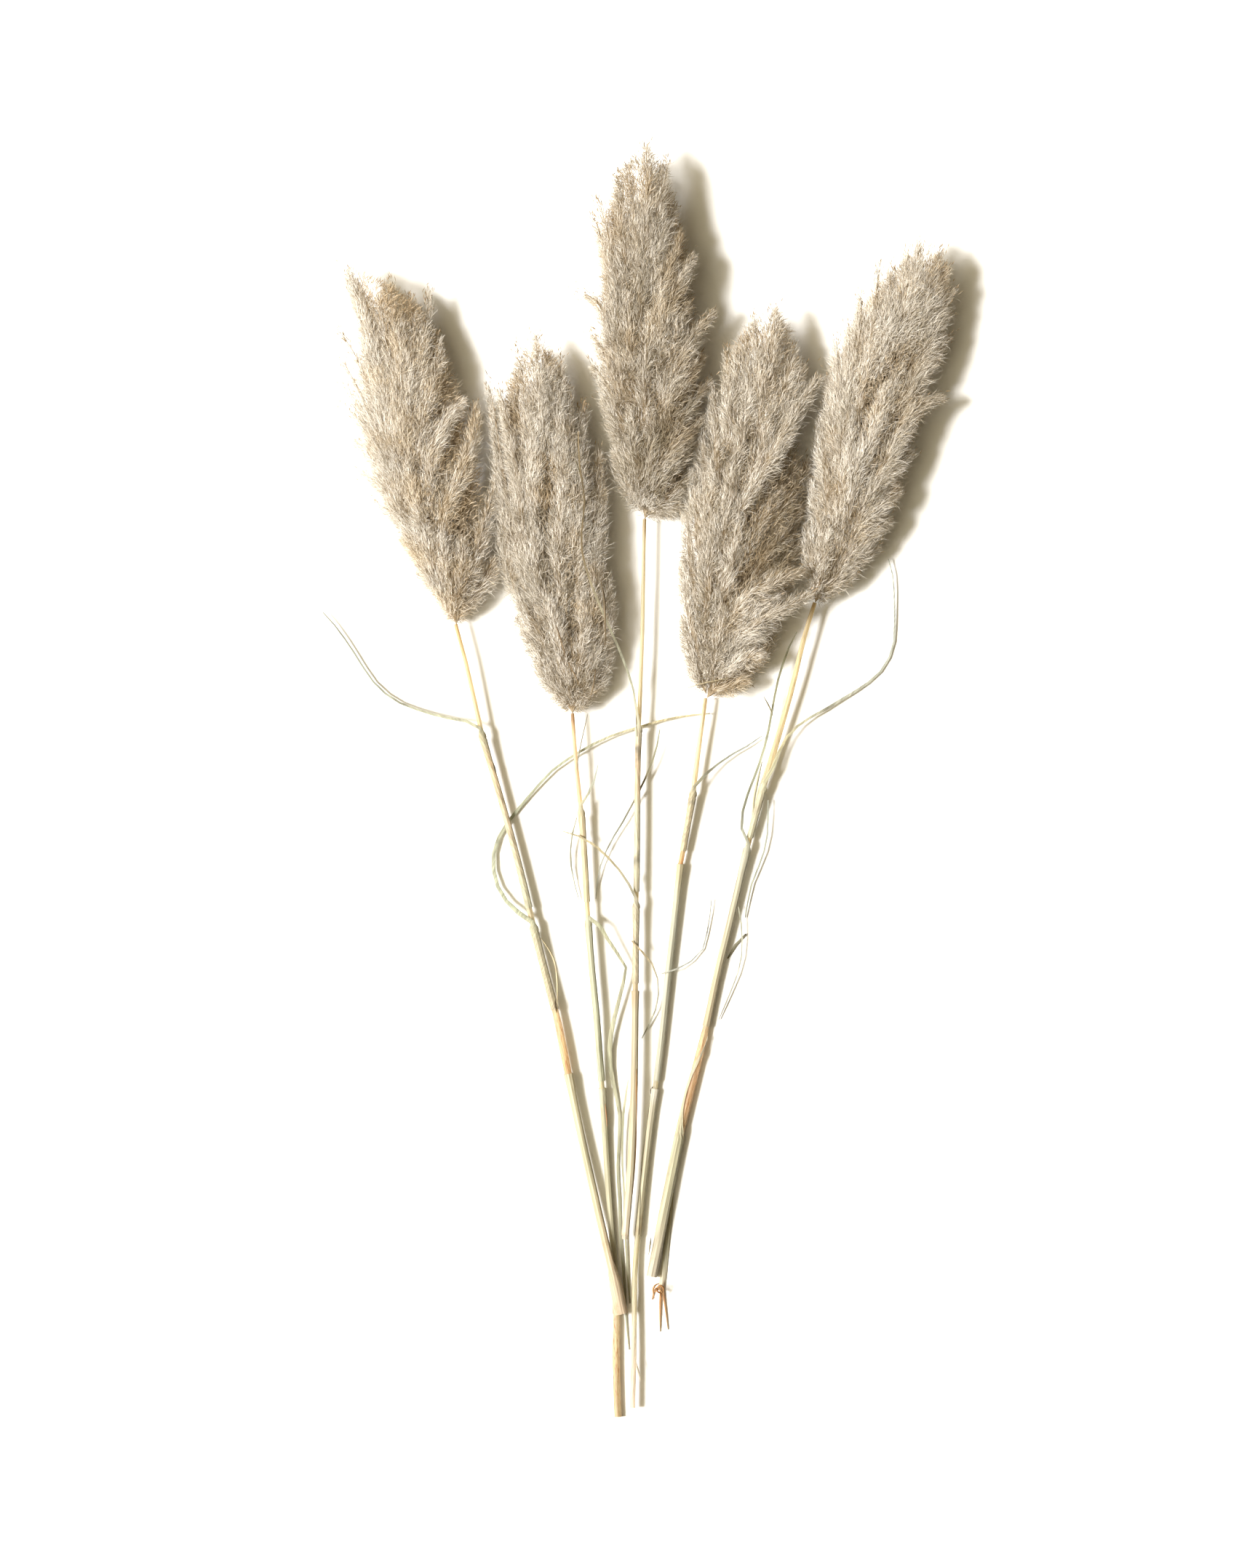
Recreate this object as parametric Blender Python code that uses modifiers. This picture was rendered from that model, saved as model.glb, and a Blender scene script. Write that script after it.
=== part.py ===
"""A bundle of five cut and dried pampas-grass stems lying flat on a surface.

Each culm (stem) carries one plume at its top and leaf sheaths along its length.
A sheath and its blade grew as one leaf, so each leaf is one solid.
Units are metres, +Z is up, and the plumes point towards +Y.

The lay-out is set out on a plan grid seen from above: x runs to the right (+X),
y runs from the plume tips to the cut ends (-Y), and one grid unit is PLAN metres.
Heights, radii and leaf widths are in millimetres.
"""

import math

import bmesh
import bpy
from mathutils import Vector

MM = 0.001
PLAN = 0.00067  # one plan grid unit: it sets the bundle's size, about 1.17 m long
MID_X, MID_Y = 862.0, 1075.0  # plan point that starts out at the world origin

LEAF_T = 0.45  # wall of a sheath, and thickness of a leaf
STRIP_T = 0.4  # thickness of a loose strip of leaf
GAP = 0.3  # clearance between a culm and a sheath around it
COVER = 0.93  # share of the way round its culm that a whole sheath wraps
FLARED = 0.55  # how far a sheath's collar stands out
THROAT = (0.72, 0.42, 0.16, 0.0)  # a sheath's width above its collar, as a share of the way from blade to sheath
THROAT_STEP = 4.0  # plan units between those rows
STEM_STEP = 26.0  # plan units between the rings of a culm
LEAF_STEP = 23.0  # plan units between the rows of a leaf
SHEATH_STEP = 30.0  # the same along a sheath, which is nearly straight
PLUME_AROUND = 18
PLUME_ROWS = 16

PLUME_TONE = (0.58, 0.50, 0.39, 1.0)
CULM_TONE = (0.80, 0.66, 0.43, 1.0)
SHEATH_TONE = (0.76, 0.71, 0.54, 1.0)
STRIP_TONE = (0.55, 0.55, 0.42, 1.0)

# Culms, from the plume's base to the cut end: x, y on the plan, height of the
# centre line and radius in mm.
CULMS = {
    1: [
        (626.8, 858.5, 15.0, 1.65), (633, 882, 14.8, 1.75), (640.5, 910, 14.5, 1.9),
        (662, 1006, 12.6, 2.3), (664, 1016, 12.4, 2.2), (692, 1110, 9.6, 2.3),
        (716, 1200, 9.0, 2.5), (733, 1272, 9.4, 2.7), (749, 1335, 9.2, 2.9),
        (763, 1388, 8.8, 3.1), (768, 1410, 8.6, 3.45), (776, 1450, 8.4, 3.6),
        (780.5, 1472, 8.3, 3.3), (787, 1505, 8.3, 2.9), (799, 1562, 8.6, 2.8),
        (811, 1615, 9.0, 2.8), (823, 1668, 9.9, 2.8), (837, 1728, 10.6, 2.8),
        (847, 1772, 10.8, 2.8), (852.5, 1799, 10.8, 2.8),
    ],
    2: [
        (787, 981.0, 15.0, 1.65), (788.5, 1005, 15.0, 1.8), (793, 1060, 14.6, 2.0),
        (798.5, 1112, 13.0, 2.3), (800, 1124, 12.8, 2.1), (804, 1185, 11.6, 2.1),
        (808, 1258, 11.6, 2.2), (814, 1335, 11.0, 2.3), (820.5, 1400, 10.4, 2.35),
        (826.5, 1485, 7.6, 2.5), (828.5, 1505, 6.6, 2.45), (832, 1560, 4.6, 2.3),
        (835.5, 1620, 3.5, 2.25), (840, 1680, 3.3, 2.25), (844.5, 1740, 3.4, 2.3),
        (847.2, 1800, 3.6, 2.4), (847.4, 1814, 3.65, 3.3), (847, 1860, 3.6, 3.4),
        (848, 1910, 3.55, 3.35), (849.5, 1948, 3.5, 3.3),
    ],
    3: [
        (886, 714.0, 14.8, 1.7), (885.3, 740, 14.8, 1.7), (883, 860, 14.8, 1.75),
        (880.5, 940, 14.2, 1.9), (878, 999, 13.0, 2.2), (877.6, 1010, 12.8, 1.9),
        (876.2, 1080, 12.2, 2.0), (876, 1141, 12.1, 2.1), (874.5, 1238, 12.3, 2.25),
        (873.6, 1330, 12.6, 2.35), (873, 1400, 12.8, 2.45), (871.8, 1490, 13.0, 2.6),
        (868.6, 1580, 12.9, 2.8), (864.5, 1640, 12.6, 2.8), (858.8, 1703, 12.3, 2.75),
    ],
    4: [
        (969.8, 960.0, 12.4, 1.75), (968, 975, 12.3, 1.9), (960, 1030, 11.2, 2.3),
        (953.5, 1083, 9.9, 2.55), (952, 1094, 9.6, 2.2), (941.5, 1155, 7.8, 2.3),
        (938.5, 1171, 7.4, 2.3), (936.8, 1179, 7.2, 2.7), (935.5, 1187, 7.0, 2.3), (925, 1281, 5.6, 2.3),
        (916.5, 1360, 4.9, 2.35), (908, 1440, 4.5, 2.4), (901.5, 1490, 4.3, 2.45),
        (894.5, 1540, 4.2, 2.45), (886.5, 1605, 4.3, 2.45), (880, 1665, 4.8, 2.45),
        (876.2, 1703, 5.3, 2.55), (872.8, 1745, 6.2, 2.5), (872, 1800, 7.4, 2.5),
        (871.6, 1850, 8.4, 2.5), (870.3, 1900, 9.2, 2.55), (869.3, 1935, 9.7, 2.6),
    ],
    5: [
        (1119.5, 829.0, 15.6, 1.8), (1114, 846, 15.5, 2.0), (1103, 884, 15.0, 2.2),
        (1089, 944, 12.8, 2.5), (1072.5, 1003, 10.8, 2.7), (1064, 1032, 10.0, 2.8),
        (1051.5, 1073, 9.2, 2.95), (1048, 1085, 8.9, 2.35), (1030.5, 1152, 7.4, 2.4),
        (1014, 1222, 6.4, 2.45), (1000, 1281, 5.7, 2.5), (985.5, 1340, 5.1, 2.55),
        (971.5, 1408, 4.7, 2.6), (966, 1430, 4.8, 3.4), (956, 1470, 5.0, 3.7),
        (946, 1510, 5.1, 3.75), (937, 1548, 5.1, 3.7), (930, 1580, 5.2, 3.85),
        (921, 1625, 5.3, 4.0), (911, 1675, 5.4, 4.1), (902, 1722, 5.4, 4.1),
        (896.3, 1752, 5.4, 4.1),
    ],
}

# Plumes, from the tip to the base. First and last: x, y, height in mm. Rows
# between: y, left x, right x, and the heights of underside and top in mm.
PLUMES = {
    1: (
        (480, 372, 36),
        [
            (392, 480, 520, 26, 43), (420, 486, 585, 16, 46), (460, 492, 602, 7, 47),
            (500, 487, 625, 0, 48), (540, 484, 646, 0, 48), (600, 490, 656, 0, 48),
            (650, 498, 676, 0, 47), (700, 520, 676, 0, 45), (740, 545, 672, 0, 42),
            (780, 575, 668, 0, 38), (815, 597, 660, 3, 33), (840, 614, 650, 8, 27),
        ],
        (627.5, 856, 15),
    ),
    2: (
        (739, 468, 33),
        [
            (490, 718, 762, 23, 40), (520, 698, 778, 14, 42), (550, 684, 788, 6, 44),
            (590, 682, 800, 0, 44), (640, 688, 820, 0, 44), (700, 694, 828, 0, 44),
            (760, 699, 834, 0, 43), (820, 702, 838, 0, 42), (870, 716, 839, 0, 39),
            (910, 735, 835, 0, 36), (945, 752, 826, 3, 30), (966, 771, 812, 8, 24),
        ],
        (787, 978.5, 15),
    ),
    3: (
        (888, 210, 38),
        [
            (235, 850, 915, 26, 48), (265, 840, 928, 17, 51), (300, 826, 934, 8, 52),
            (350, 822, 952, 0, 53), (400, 814, 958, 0, 54), (440, 814, 966, 0, 54),
            (500, 824, 966, 0, 53), (550, 830, 962, 0, 51), (600, 842, 954, 0, 48),
            (640, 852, 950, 0, 44), (670, 862, 946, 2, 38), (695, 872, 934, 7, 29),
        ],
        (886.5, 711.5, 15),
    ),
    4: (
        (1063, 428, 34),
        [
            (448, 1036, 1082, 24, 41), (470, 1004, 1092, 16, 44), (505, 994, 1106, 7, 46),
            (550, 986, 1112, 0, 47), (600, 974, 1098, 0, 48), (660, 966, 1112, 0, 48),
            (720, 951, 1112, 0, 48), (780, 941, 1103, 0, 47), (830, 938, 1092, 0, 44),
            (870, 942, 1076, 0, 41), (905, 953, 1068, 0, 36), (935, 961, 1046, 4, 28),
        ],
        (972, 957.5, 13),
    ),
    5: (
        (1272, 342, 34),
        [
            (362, 1240, 1304, 24, 43), (395, 1204, 1308, 15, 46), (430, 1176, 1304, 6, 47),
            (470, 1151, 1298, 0, 48), (510, 1142, 1288, 0, 48), (560, 1138, 1274, 0, 47),
            (620, 1127, 1260, 0, 46), (680, 1122, 1240, 0, 44), (730, 1120, 1216, 0, 41),
            (770, 1115, 1182, 2, 36), (798, 1110, 1156, 6, 30), (815, 1112, 1142, 10, 24),
        ],
        (1120.5, 826, 16),
    ),
}

# Leaves with a sheath. Sheath: culm, y of its foot, y of its collar. Blade, from
# the collar to the tip: x, y, height, half-width and how much the blade is bent
# across (1 / radius), heights and widths in mm.
LEAVES = {
    "leaf_1a": (1, 1248, 1018, [
        (646, 993, 15.4, 1.5, 0.22), (630, 990, 12.6, 1.2, 0.25),
        (608, 986, 9.5, 1.2, 0.2), (584, 979, 7.5, 1.1, 0.1), (560, 971, 6.0, 1.0, 0.1),
        (540, 961, 5.0, 1.0, 0.1), (518, 943, 4.2, 0.95, 0.1), (501, 920, 4.0, 0.9, 0.1),
        (482, 890, 4.4, 0.85, 0.1), (462, 862, 5.2, 0.7, 0.1), (444, 842, 6.4, 0.45, 0.0),
    ]),
    "leaf_1b": (1, 1388, 1284, [
        (712, 1254, 12.4, 2.3, 0.2), (697, 1240, 9.4, 1.9, 0.15),
        (684, 1218, 6.4, 1.8, 0.1), (678, 1190, 4.6, 1.9, 0.1), (682, 1160, 3.6, 1.8, 0.1),
        (698, 1131, 3.0, 1.6, 0.1), (716, 1108, 3.2, 1.3, 0.1), (738, 1082, 4.2, 1.2, 0.1),
        (762, 1057, 5.4, 1.2, 0.1), (790, 1038, 6.6, 1.2, 0.1), (816, 1023, 7.0, 1.15, 0.1),
        (845, 1010, 6.8, 1.1, 0.1), (878, 1000, 6.2, 1.1, 0.1), (912, 990, 6.0, 1.0, 0.1),
        (945, 984, 5.6, 0.8, 0.1), (976, 981, 5.2, 0.4, 0.0),
    ]),
    "leaf_2a": (2, 1240, 1124, [
        (806, 1096, 17.6, 1.2, 0.1), (816, 1076, 17.0, 0.9, 0.1),
        (822, 1052, 15.6, 0.5, 0.0),
    ]),
    "leaf_2b": (2, 1486, 1276, [
        (817, 1262, 16.2, 1.8, 0.2), (830, 1282, 14.2, 1.7, 0.15), (846, 1308, 11.2, 1.6, 0.1),
        (857, 1319, 9.8, 1.4, 0.1), (860.5, 1328, 9.2, 1.3, 0.1), (857, 1350, 8.4, 1.6, 0.1),
        (849, 1382, 7.4, 1.9, 0.12), (841, 1415, 6.4, 2.1, 0.15), (837.5, 1450, 5.2, 2.1, 0.15),
        (841, 1480, 3.6, 1.9, 0.1), (847, 1506, 2.0, 1.6, 0.1), (851.5, 1535, 1.2, 1.4, 0.1),
        (850.5, 1570, 1.0, 1.3, 0.1), (849, 1610, 1.0, 1.3, 0.1), (851.5, 1650, 1.0, 1.3, 0.1),
        (852.5, 1690, 1.0, 1.2, 0.1), (856, 1735, 1.0, 1.2, 0.1), (859, 1775, 1.0, 1.2, 0.1),
        (861, 1815, 1.0, 0.9, 0.1), (864.5, 1856, 1.0, 0.4, 0.0),
    ]),
    "leaf_2c": (2, 1806, 1496, []),
    "leaf_3a": (3, 1226, 1010, [
        (874.5, 976, 17.2, 1.2, 0.1), (870, 946, 18.6, 1.0, 0.1),
        (859, 914, 24.0, 1.0, 0.1), (847, 884, 31.0, 1.0, 0.1), (832, 851, 40.0, 1.0, 0.1),
        (819, 820, 45.5, 1.0, 0.1), (806, 785, 48.0, 0.9, 0.1), (799, 748, 49.0, 0.9, 0.1),
        (802, 715, 49.4, 0.8, 0.1), (803.5, 683, 49.4, 0.8, 0.1), (797, 642, 49.0, 0.7, 0.1),
        (795, 596, 46.5, 0.4, 0.0),
    ]),
    "leaf_3b": (3, 1352, 1252, [
        (867, 1221, 17.6, 1.3, 0.1), (859, 1206, 17.4, 1.1, 0.1),
        (846, 1190, 17.4, 1.1, 0.1), (831, 1174, 17.4, 1.1, 0.1), (816, 1161, 17.4, 1.1, 0.1),
        (797, 1150, 17.2, 0.9, 0.1), (774, 1143, 16.0, 0.4, 0.0),
    ]),
    "leaf_3c": (3, 1698, 1362, []),
    "leaf_4a": (4, 1170, 1098, [
        (962, 1072, 13.2, 1.5, 0.15), (974, 1061, 9.6, 1.1, 0.1),
        (990, 1048, 7.6, 1.0, 0.1), (1010, 1035, 6.4, 0.9, 0.1), (1030, 1024, 5.8, 0.8, 0.1),
        (1047, 1012, 5.4, 0.4, 0.0),
    ]),
    "leaf_4b": (4, 1486, 1188, []),
    "leaf_4c": (4, 1699, 1497, []),
    "leaf_5a": (5, 1152, 1092, [
        (1062, 1056, 13.2, 1.7, 0.15), (1073, 1027, 11.6, 1.3, 0.1),
        (1087, 1007, 9.4, 1.2, 0.1), (1106, 991, 7.2, 1.2, 0.1), (1130, 978, 5.4, 1.3, 0.1),
        (1158, 961, 3.8, 1.3, 0.1), (1186, 944, 2.6, 1.2, 0.1), (1208, 926, 2.0, 1.1, 0.1),
        (1222, 905, 1.8, 1.0, 0.1), (1229, 880, 2.0, 0.9, 0.1), (1229.5, 850, 2.6, 0.9, 0.1),
        (1229, 815, 3.6, 0.8, 0.1), (1227, 792, 4.4, 0.7, 0.1), (1221, 769, 5.4, 0.4, 0.0),
    ]),
    "leaf_5b": (5, 1411, 1176, [
        (1019.5, 1142, 11.4, 1.4, 0.1), (1021, 1114, 10.2, 1.2, 0.1),
        (1029, 1088, 9.6, 1.2, 0.1), (1040, 1060, 9.4, 1.2, 0.1), (1049, 1033, 9.6, 1.2, 0.1),
        (1057, 1000, 10.4, 1.1, 0.1), (1063, 965, 11.4, 1.0, 0.1), (1070, 932, 12.4, 1.0, 0.1),
        (1083, 893, 14.0, 0.8, 0.1), (1095, 869, 15.2, 0.4, 0.0),
    ]),
}

# Loose strips of dry leaf: x, y, height and half-width in mm.
STRIPS = {
    "leaf_strip_1": [
        (907, 1003, 11.0, 0.5), (902, 1030, 9.6, 0.8), (893, 1056, 8.2, 0.9), (880, 1085, 7.4, 0.9),
        (868, 1108, 6.8, 0.9), (855, 1132, 6.2, 0.9), (842, 1153, 5.6, 0.8), (829, 1180, 4.8, 0.6),
        (822, 1206, 3.8, 0.5), (819, 1236, 2.8, 0.35),
    ],
    "leaf_strip_2": [
        (793, 1124, 10.0, 0.5), (787.5, 1142, 8.4, 0.7), (784.5, 1165, 6.8, 0.7), (785, 1188, 5.4, 0.7),
        (789, 1212, 4.0, 0.6), (796, 1238, 2.8, 0.35),
    ],
    "leaf_strip_3": [
        (863.5, 1484, 8.6, 0.6), (861, 1502, 7.6, 1.1), (857, 1528, 6.2, 1.3), (855.5, 1560, 5.0, 1.1),
        (855.5, 1600, 4.2, 1.0), (858, 1640, 3.6, 1.0), (858.5, 1680, 3.0, 1.0), (861, 1720, 2.2, 1.1),
        (863.5, 1760, 1.4, 1.0), (866, 1792, 0.9, 0.5),
    ],
    "leaf_strip_4": [
        (868, 1293, 17.2, 0.5), (877, 1303, 17.0, 0.9), (888, 1314, 14.6, 0.9), (898, 1328, 11.0, 0.8),
        (904, 1346, 8.0, 0.8), (905, 1368, 5.8, 0.8), (900, 1392, 4.2, 0.8), (891, 1411, 3.2, 0.7),
        (882, 1428, 2.4, 0.4),
    ],
    "leaf_strip_5": [
        (908, 1339, 9.8, 0.4), (920, 1336, 9.9, 0.8), (933, 1331, 7.4, 0.8), (948, 1323, 4.4, 0.7),
        (961, 1312, 2.8, 0.7), (969, 1298, 2.2, 0.7), (972.5, 1278, 2.4, 0.7), (976, 1257, 3.0, 0.6),
        (978, 1236, 3.8, 0.35),
    ],
    "leaf_strip_6": [
        (1055.5, 1100, 7.0, 0.5), (1055.5, 1126, 5.8, 0.8), (1053.5, 1156, 4.8, 0.9), (1046, 1184, 4.0, 0.9),
        (1036, 1206, 3.4, 0.9), (1029.5, 1232, 2.8, 0.8), (1024, 1262, 2.2, 0.4),
    ],
    "leaf_strip_7": [
        (1025, 1284, 1.6, 0.6), (1016, 1293, 1.4, 1.2), (1007, 1305, 1.2, 1.2), (1000, 1318, 1.0, 0.6),
    ],
    "leaf_strip_8": [
        (1014.5, 1246, 7.4, 0.4), (1018.5, 1268, 6.6, 0.7), (1020, 1296, 5.4, 0.7), (1017.5, 1326, 4.2, 0.7),
        (1008, 1354, 3.2, 0.7), (997, 1381, 2.4, 0.7), (988, 1402, 1.8, 0.35),
    ],
}

# The flared end of the lowest sheath on culm 1, which lies open over culm 2.
FLARE = [(845, 1760, 14.6, 8.6, 0.185), (851, 1790, 14.9, 9.6, 0.17), (854.5, 1806, 14.9, 9.8, 0.168)]

# The lowest leaf of culm 5: its split upper part crosses the culm and lies along
# its left side. y on the plan, the way its back faces in degrees (90 is up, 180
# is left), and half-width in mm.
SPLIT_5 = [
    (1566, 180, 12.9), (1549, 178, 8.4), (1528, 172, 4.6), (1506, 160, 2.8), (1484, 138, 1.9),
    (1464, 100, 1.4), (1445, 58, 1.0), (1424, 20, 0.6),
]
SPLIT_STEP = 11.0  # plan units between its rows
SPLIT_LIFT = 0.3  # how far the split part stands off the culm, beyond a whole sheath's clearance

# A torn piece of sheath beside culm 5, with root fibres on its foot.
TORN = [
    (925, 1640, 2.4, 0.6, 0.1), (921.5, 1668, 2.0, 1.7, 0.2), (917.5, 1698, 1.8, 2.4, 0.24),
    (914.0, 1730, 1.8, 2.8, 0.26), (911.0, 1758, 2.0, 3.2, 0.26), (908.5, 1774, 2.2, 3.4, 0.24),
]
FIBRES = [
    [(908.5, 1769, 1.9, 1.0), (907.6, 1786, 1.6, 1.0), (907.2, 1808, 1.3, 0.8), (907.3, 1831, 0.9, 0.4)],
    [(911.2, 1769, 1.7, 0.8), (913.4, 1790, 1.4, 0.8), (915.8, 1808, 1.1, 0.7), (918.2, 1828, 0.8, 0.4)],
    [(905.2, 1768, 1.4, 0.7), (899.5, 1774, 1.2, 0.7), (896.3, 1787, 0.8, 0.4)],
]

UP = Vector((0.0, 0.0, 1.0))


def world(x, y, z):
    """Plan point and height in mm, as world millimetres."""
    return Vector(((x - MID_X) * PLAN / MM, (MID_Y - y) * PLAN / MM, z))


def smooth(points, step):
    """A Catmull-Rom curve through lists of numbers, sampled about every step along its first three."""
    ends = [[2 * a - b for a, b in zip(points[0], points[1])]]
    ends += [list(p) for p in points]
    ends += [[2 * a - b for a, b in zip(points[-1], points[-2])]]
    fine = []
    for i in range(1, len(ends) - 2):
        p0, p1, p2, p3 = ends[i - 1 : i + 3]
        for k in range(12):
            t = k / 12
            fine.append([
                0.5 * (2 * b + (c - a) * t + (2 * a - 5 * b + 4 * c - d) * t * t + (3 * b - a - 3 * c + d) * t**3)
                for a, b, c, d in zip(p0, p1, p2, p3)
            ])
    fine.append(list(points[-1]))
    along = [0.0]
    for a, b in zip(fine, fine[1:]):
        along.append(along[-1] + math.dist(a[:3], b[:3]))
    count = max(2, round(along[-1] / step))
    result = []
    j = 0
    for i in range(count + 1):
        want = along[-1] * i / count
        while j < len(along) - 2 and along[j + 1] < want:
            j += 1
        span = along[j + 1] - along[j]
        t = min(1.0, max(0.0, (want - along[j]) / span))
        result.append([a + (b - a) * t for a, b in zip(fine[j], fine[j + 1])])
    return result


def culm_run(number):
    """The rings of a culm: world x, y, z and radius in mm."""
    return smooth([[*world(x, y, z), r] for x, y, z, r in CULMS[number]], STEM_STEP * PLAN / MM)


def culm_at(number, y):
    """Centre and radius of a culm, in world mm, where it crosses plan row y."""
    want = world(0, y, 0).y
    run = culm_run(number)
    for a, b in zip(run, run[1:]):
        if want >= b[1] or b is run[-1]:
            t = (want - a[1]) / (b[1] - a[1])
            return [p + (q - p) * t for p, q in zip(a, b)]
    return run[-1]


def material(name, tone, roughness):
    made = bpy.data.materials.new(name)
    made.use_nodes = True
    shader = made.node_tree.nodes["Principled BSDF"]
    shader.inputs["Base Color"].default_value = tone
    shader.inputs["Roughness"].default_value = roughness
    return made


def add(name, data, finish, where):
    made = bpy.data.objects.new(name, data)
    data.materials.append(finish)
    where.objects.link(made)
    return made


def tube_curve(name, points, sides):
    """A tapering closed tube: points are world x, y, z and radius, all in mm."""
    curve = bpy.data.curves.new(name, "CURVE")
    curve.dimensions = "3D"
    curve.bevel_depth = MM
    curve.bevel_resolution = sides
    curve.use_fill_caps = True
    curve.twist_mode = "Z_UP"
    spline = curve.splines.new("POLY")
    spline.points.add(len(points) - 1)
    for point, (x, y, z, r) in zip(spline.points, points):
        point.co = (x * MM, y * MM, z * MM, 1.0)
        point.radius = r
    return curve


def ribbon_mesh(name, keys, columns):
    """A strip that wraps or lies flat: each key is a point on the middle of its back, then the
    half-width, the bend across and the way the back faces, in mm and degrees."""
    mesh = bpy.data.meshes.new(name)
    grid = bmesh.new()
    bmesh.ops.create_grid(grid, x_segments=columns, y_segments=len(keys) - 1, size=1.0)
    for vertex in grid.verts:
        across = vertex.co.x
        row = round((vertex.co.y + 1.0) / 2.0 * (len(keys) - 1))
        x, y, z, half, bend, facing = keys[row]
        here = Vector((x, y, z))
        after = Vector(keys[min(row + 1, len(keys) - 1)][:3])
        before = Vector(keys[max(row - 1, 0)][:3])
        along = (after - before).normalized()
        side = along.cross(UP).normalized()
        top = side.cross(along)
        turn = math.radians(facing)
        back = side * math.cos(turn) + top * math.sin(turn)
        edge = top * math.cos(turn) - side * math.sin(turn)
        s = across * half
        if bend > 1e-6:
            vertex.co = here + edge * math.sin(bend * s) / bend - back * (1 - math.cos(bend * s)) / bend
        else:
            vertex.co = here + edge * s
        vertex.co *= MM
    bmesh.ops.recalc_face_normals(grid, faces=grid.faces)
    grid.to_mesh(mesh)
    grid.free()
    return mesh


def leaf(name, keys, columns, thickness, finish, where):
    """A ribbon given its thickness by a Solidify modifier."""
    made = add(name, ribbon_mesh(name, keys, columns), finish, where)
    wall = made.modifiers.new("wall", "SOLIDIFY")
    wall.thickness = thickness * MM
    wall.offset = 0.0
    wall.use_even_offset = True
    for face in made.data.polygons:
        face.use_smooth = True
    return made


def on_culm(number, y, facing, half=None, lift=0.0):
    """A row that lies round a culm: half is its half-width, or None for a whole sheath."""
    x, y_mm, z, r = culm_at(number, y)
    along = (Vector(culm_at(number, y - 6)[:3]) - Vector(culm_at(number, y + 6)[:3])).normalized()
    side = along.cross(UP).normalized()
    top = side.cross(along)
    radius = r + GAP + LEAF_T / 2 + lift
    turn = math.radians(facing)
    middle = Vector((x, y_mm, z)) + (side * math.cos(turn) + top * math.sin(turn)) * radius
    return [*middle, half or math.pi * radius * COVER, 1.0 / radius, facing]


def sheath_keys(number, foot, collar, facing=90.0):
    """Rows of a sheath around a culm, from its foot up to its collar."""
    count = max(2, round(abs(foot - collar) / SHEATH_STEP))
    ys = [foot + (collar - foot) * i / count for i in range(count + 1)]
    return [on_culm(number, y, facing, lift=FLARED if y == collar else 0.0) for y in ys]


def throat_keys(number, collar, half, facing=90.0):
    """Above its collar a sheath narrows into its blade, still round the culm."""
    whole = math.pi * (culm_at(number, collar)[3] + GAP) * COVER
    rows = []
    for i, share in enumerate(THROAT, 1):
        rows.append(on_culm(number, collar - i * THROAT_STEP, facing, half + (whole - half) * share, FLARED + 0.2 * i))
    return rows


def blade_keys(rows, facing=90.0):
    keys = []
    for row in rows:
        x, y, z, half, bend = row[:5]
        keys.append([*world(x, y, z), half, bend, row[5] if len(row) > 5 else facing])
    return keys


def joined(sheath, throat, blade):
    """The rows of a whole leaf. Those on the culm stay put, and the blade's are smoothed."""
    if not blade:
        return sheath
    run = smooth([throat[-1]] + blade, LEAF_STEP * PLAN / MM)
    for row in run:
        row[3] = max(row[3], 0.3)
        row[4] = max(row[4], 0.0)
    return sheath + throat[:-1] + run


def plume(name, tip, rows, base, finish, where):
    """A UV sphere drawn out along the plume: every ring takes the outline of its row, flat underneath."""
    mesh = bpy.data.meshes.new(name)
    ball = bmesh.new()
    bmesh.ops.create_uvsphere(ball, u_segments=PLUME_AROUND, v_segments=PLUME_ROWS, radius=1.0)
    table = [(tip[1], tip[0], tip[0], tip[2], tip[2])] + rows + [(base[1], base[0], base[0], base[2], base[2])]
    for vertex in ball.verts:
        share = math.acos(max(-1.0, min(1.0, vertex.co.z))) / math.pi
        y = tip[1] + (base[1] - tip[1]) * share
        for a, b in zip(table, table[1:]):
            if y <= b[0] or b is table[-1]:
                t = min(1.0, max(0.0, (y - a[0]) / (b[0] - a[0])))
                left, right, low, high = (p + (q - p) * t for p, q in zip(a[1:], b[1:]))
                break
        around = math.atan2(vertex.co.y, vertex.co.x)
        if share < 0.001 or share > 0.999:
            left = right = (left + right) / 2
            low = high = (low + high) / 2
        middle = low + 0.42 * (high - low)
        rise = math.sin(around)
        if rise >= 0:
            z = middle + (high - middle) * rise
        else:
            z = max(low, middle + 1.5 * (middle - low) * rise)
        vertex.co = world((left + right) / 2 + (right - left) / 2 * math.cos(around), y, z) * MM
    bmesh.ops.recalc_face_normals(ball, faces=ball.faces)
    if ball.calc_volume(signed=True) < 0:
        bmesh.ops.reverse_faces(ball, faces=ball.faces)
    ball.to_mesh(mesh)
    ball.free()
    for face in mesh.polygons:
        face.use_smooth = True
    return add(name, mesh, finish, where)


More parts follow.
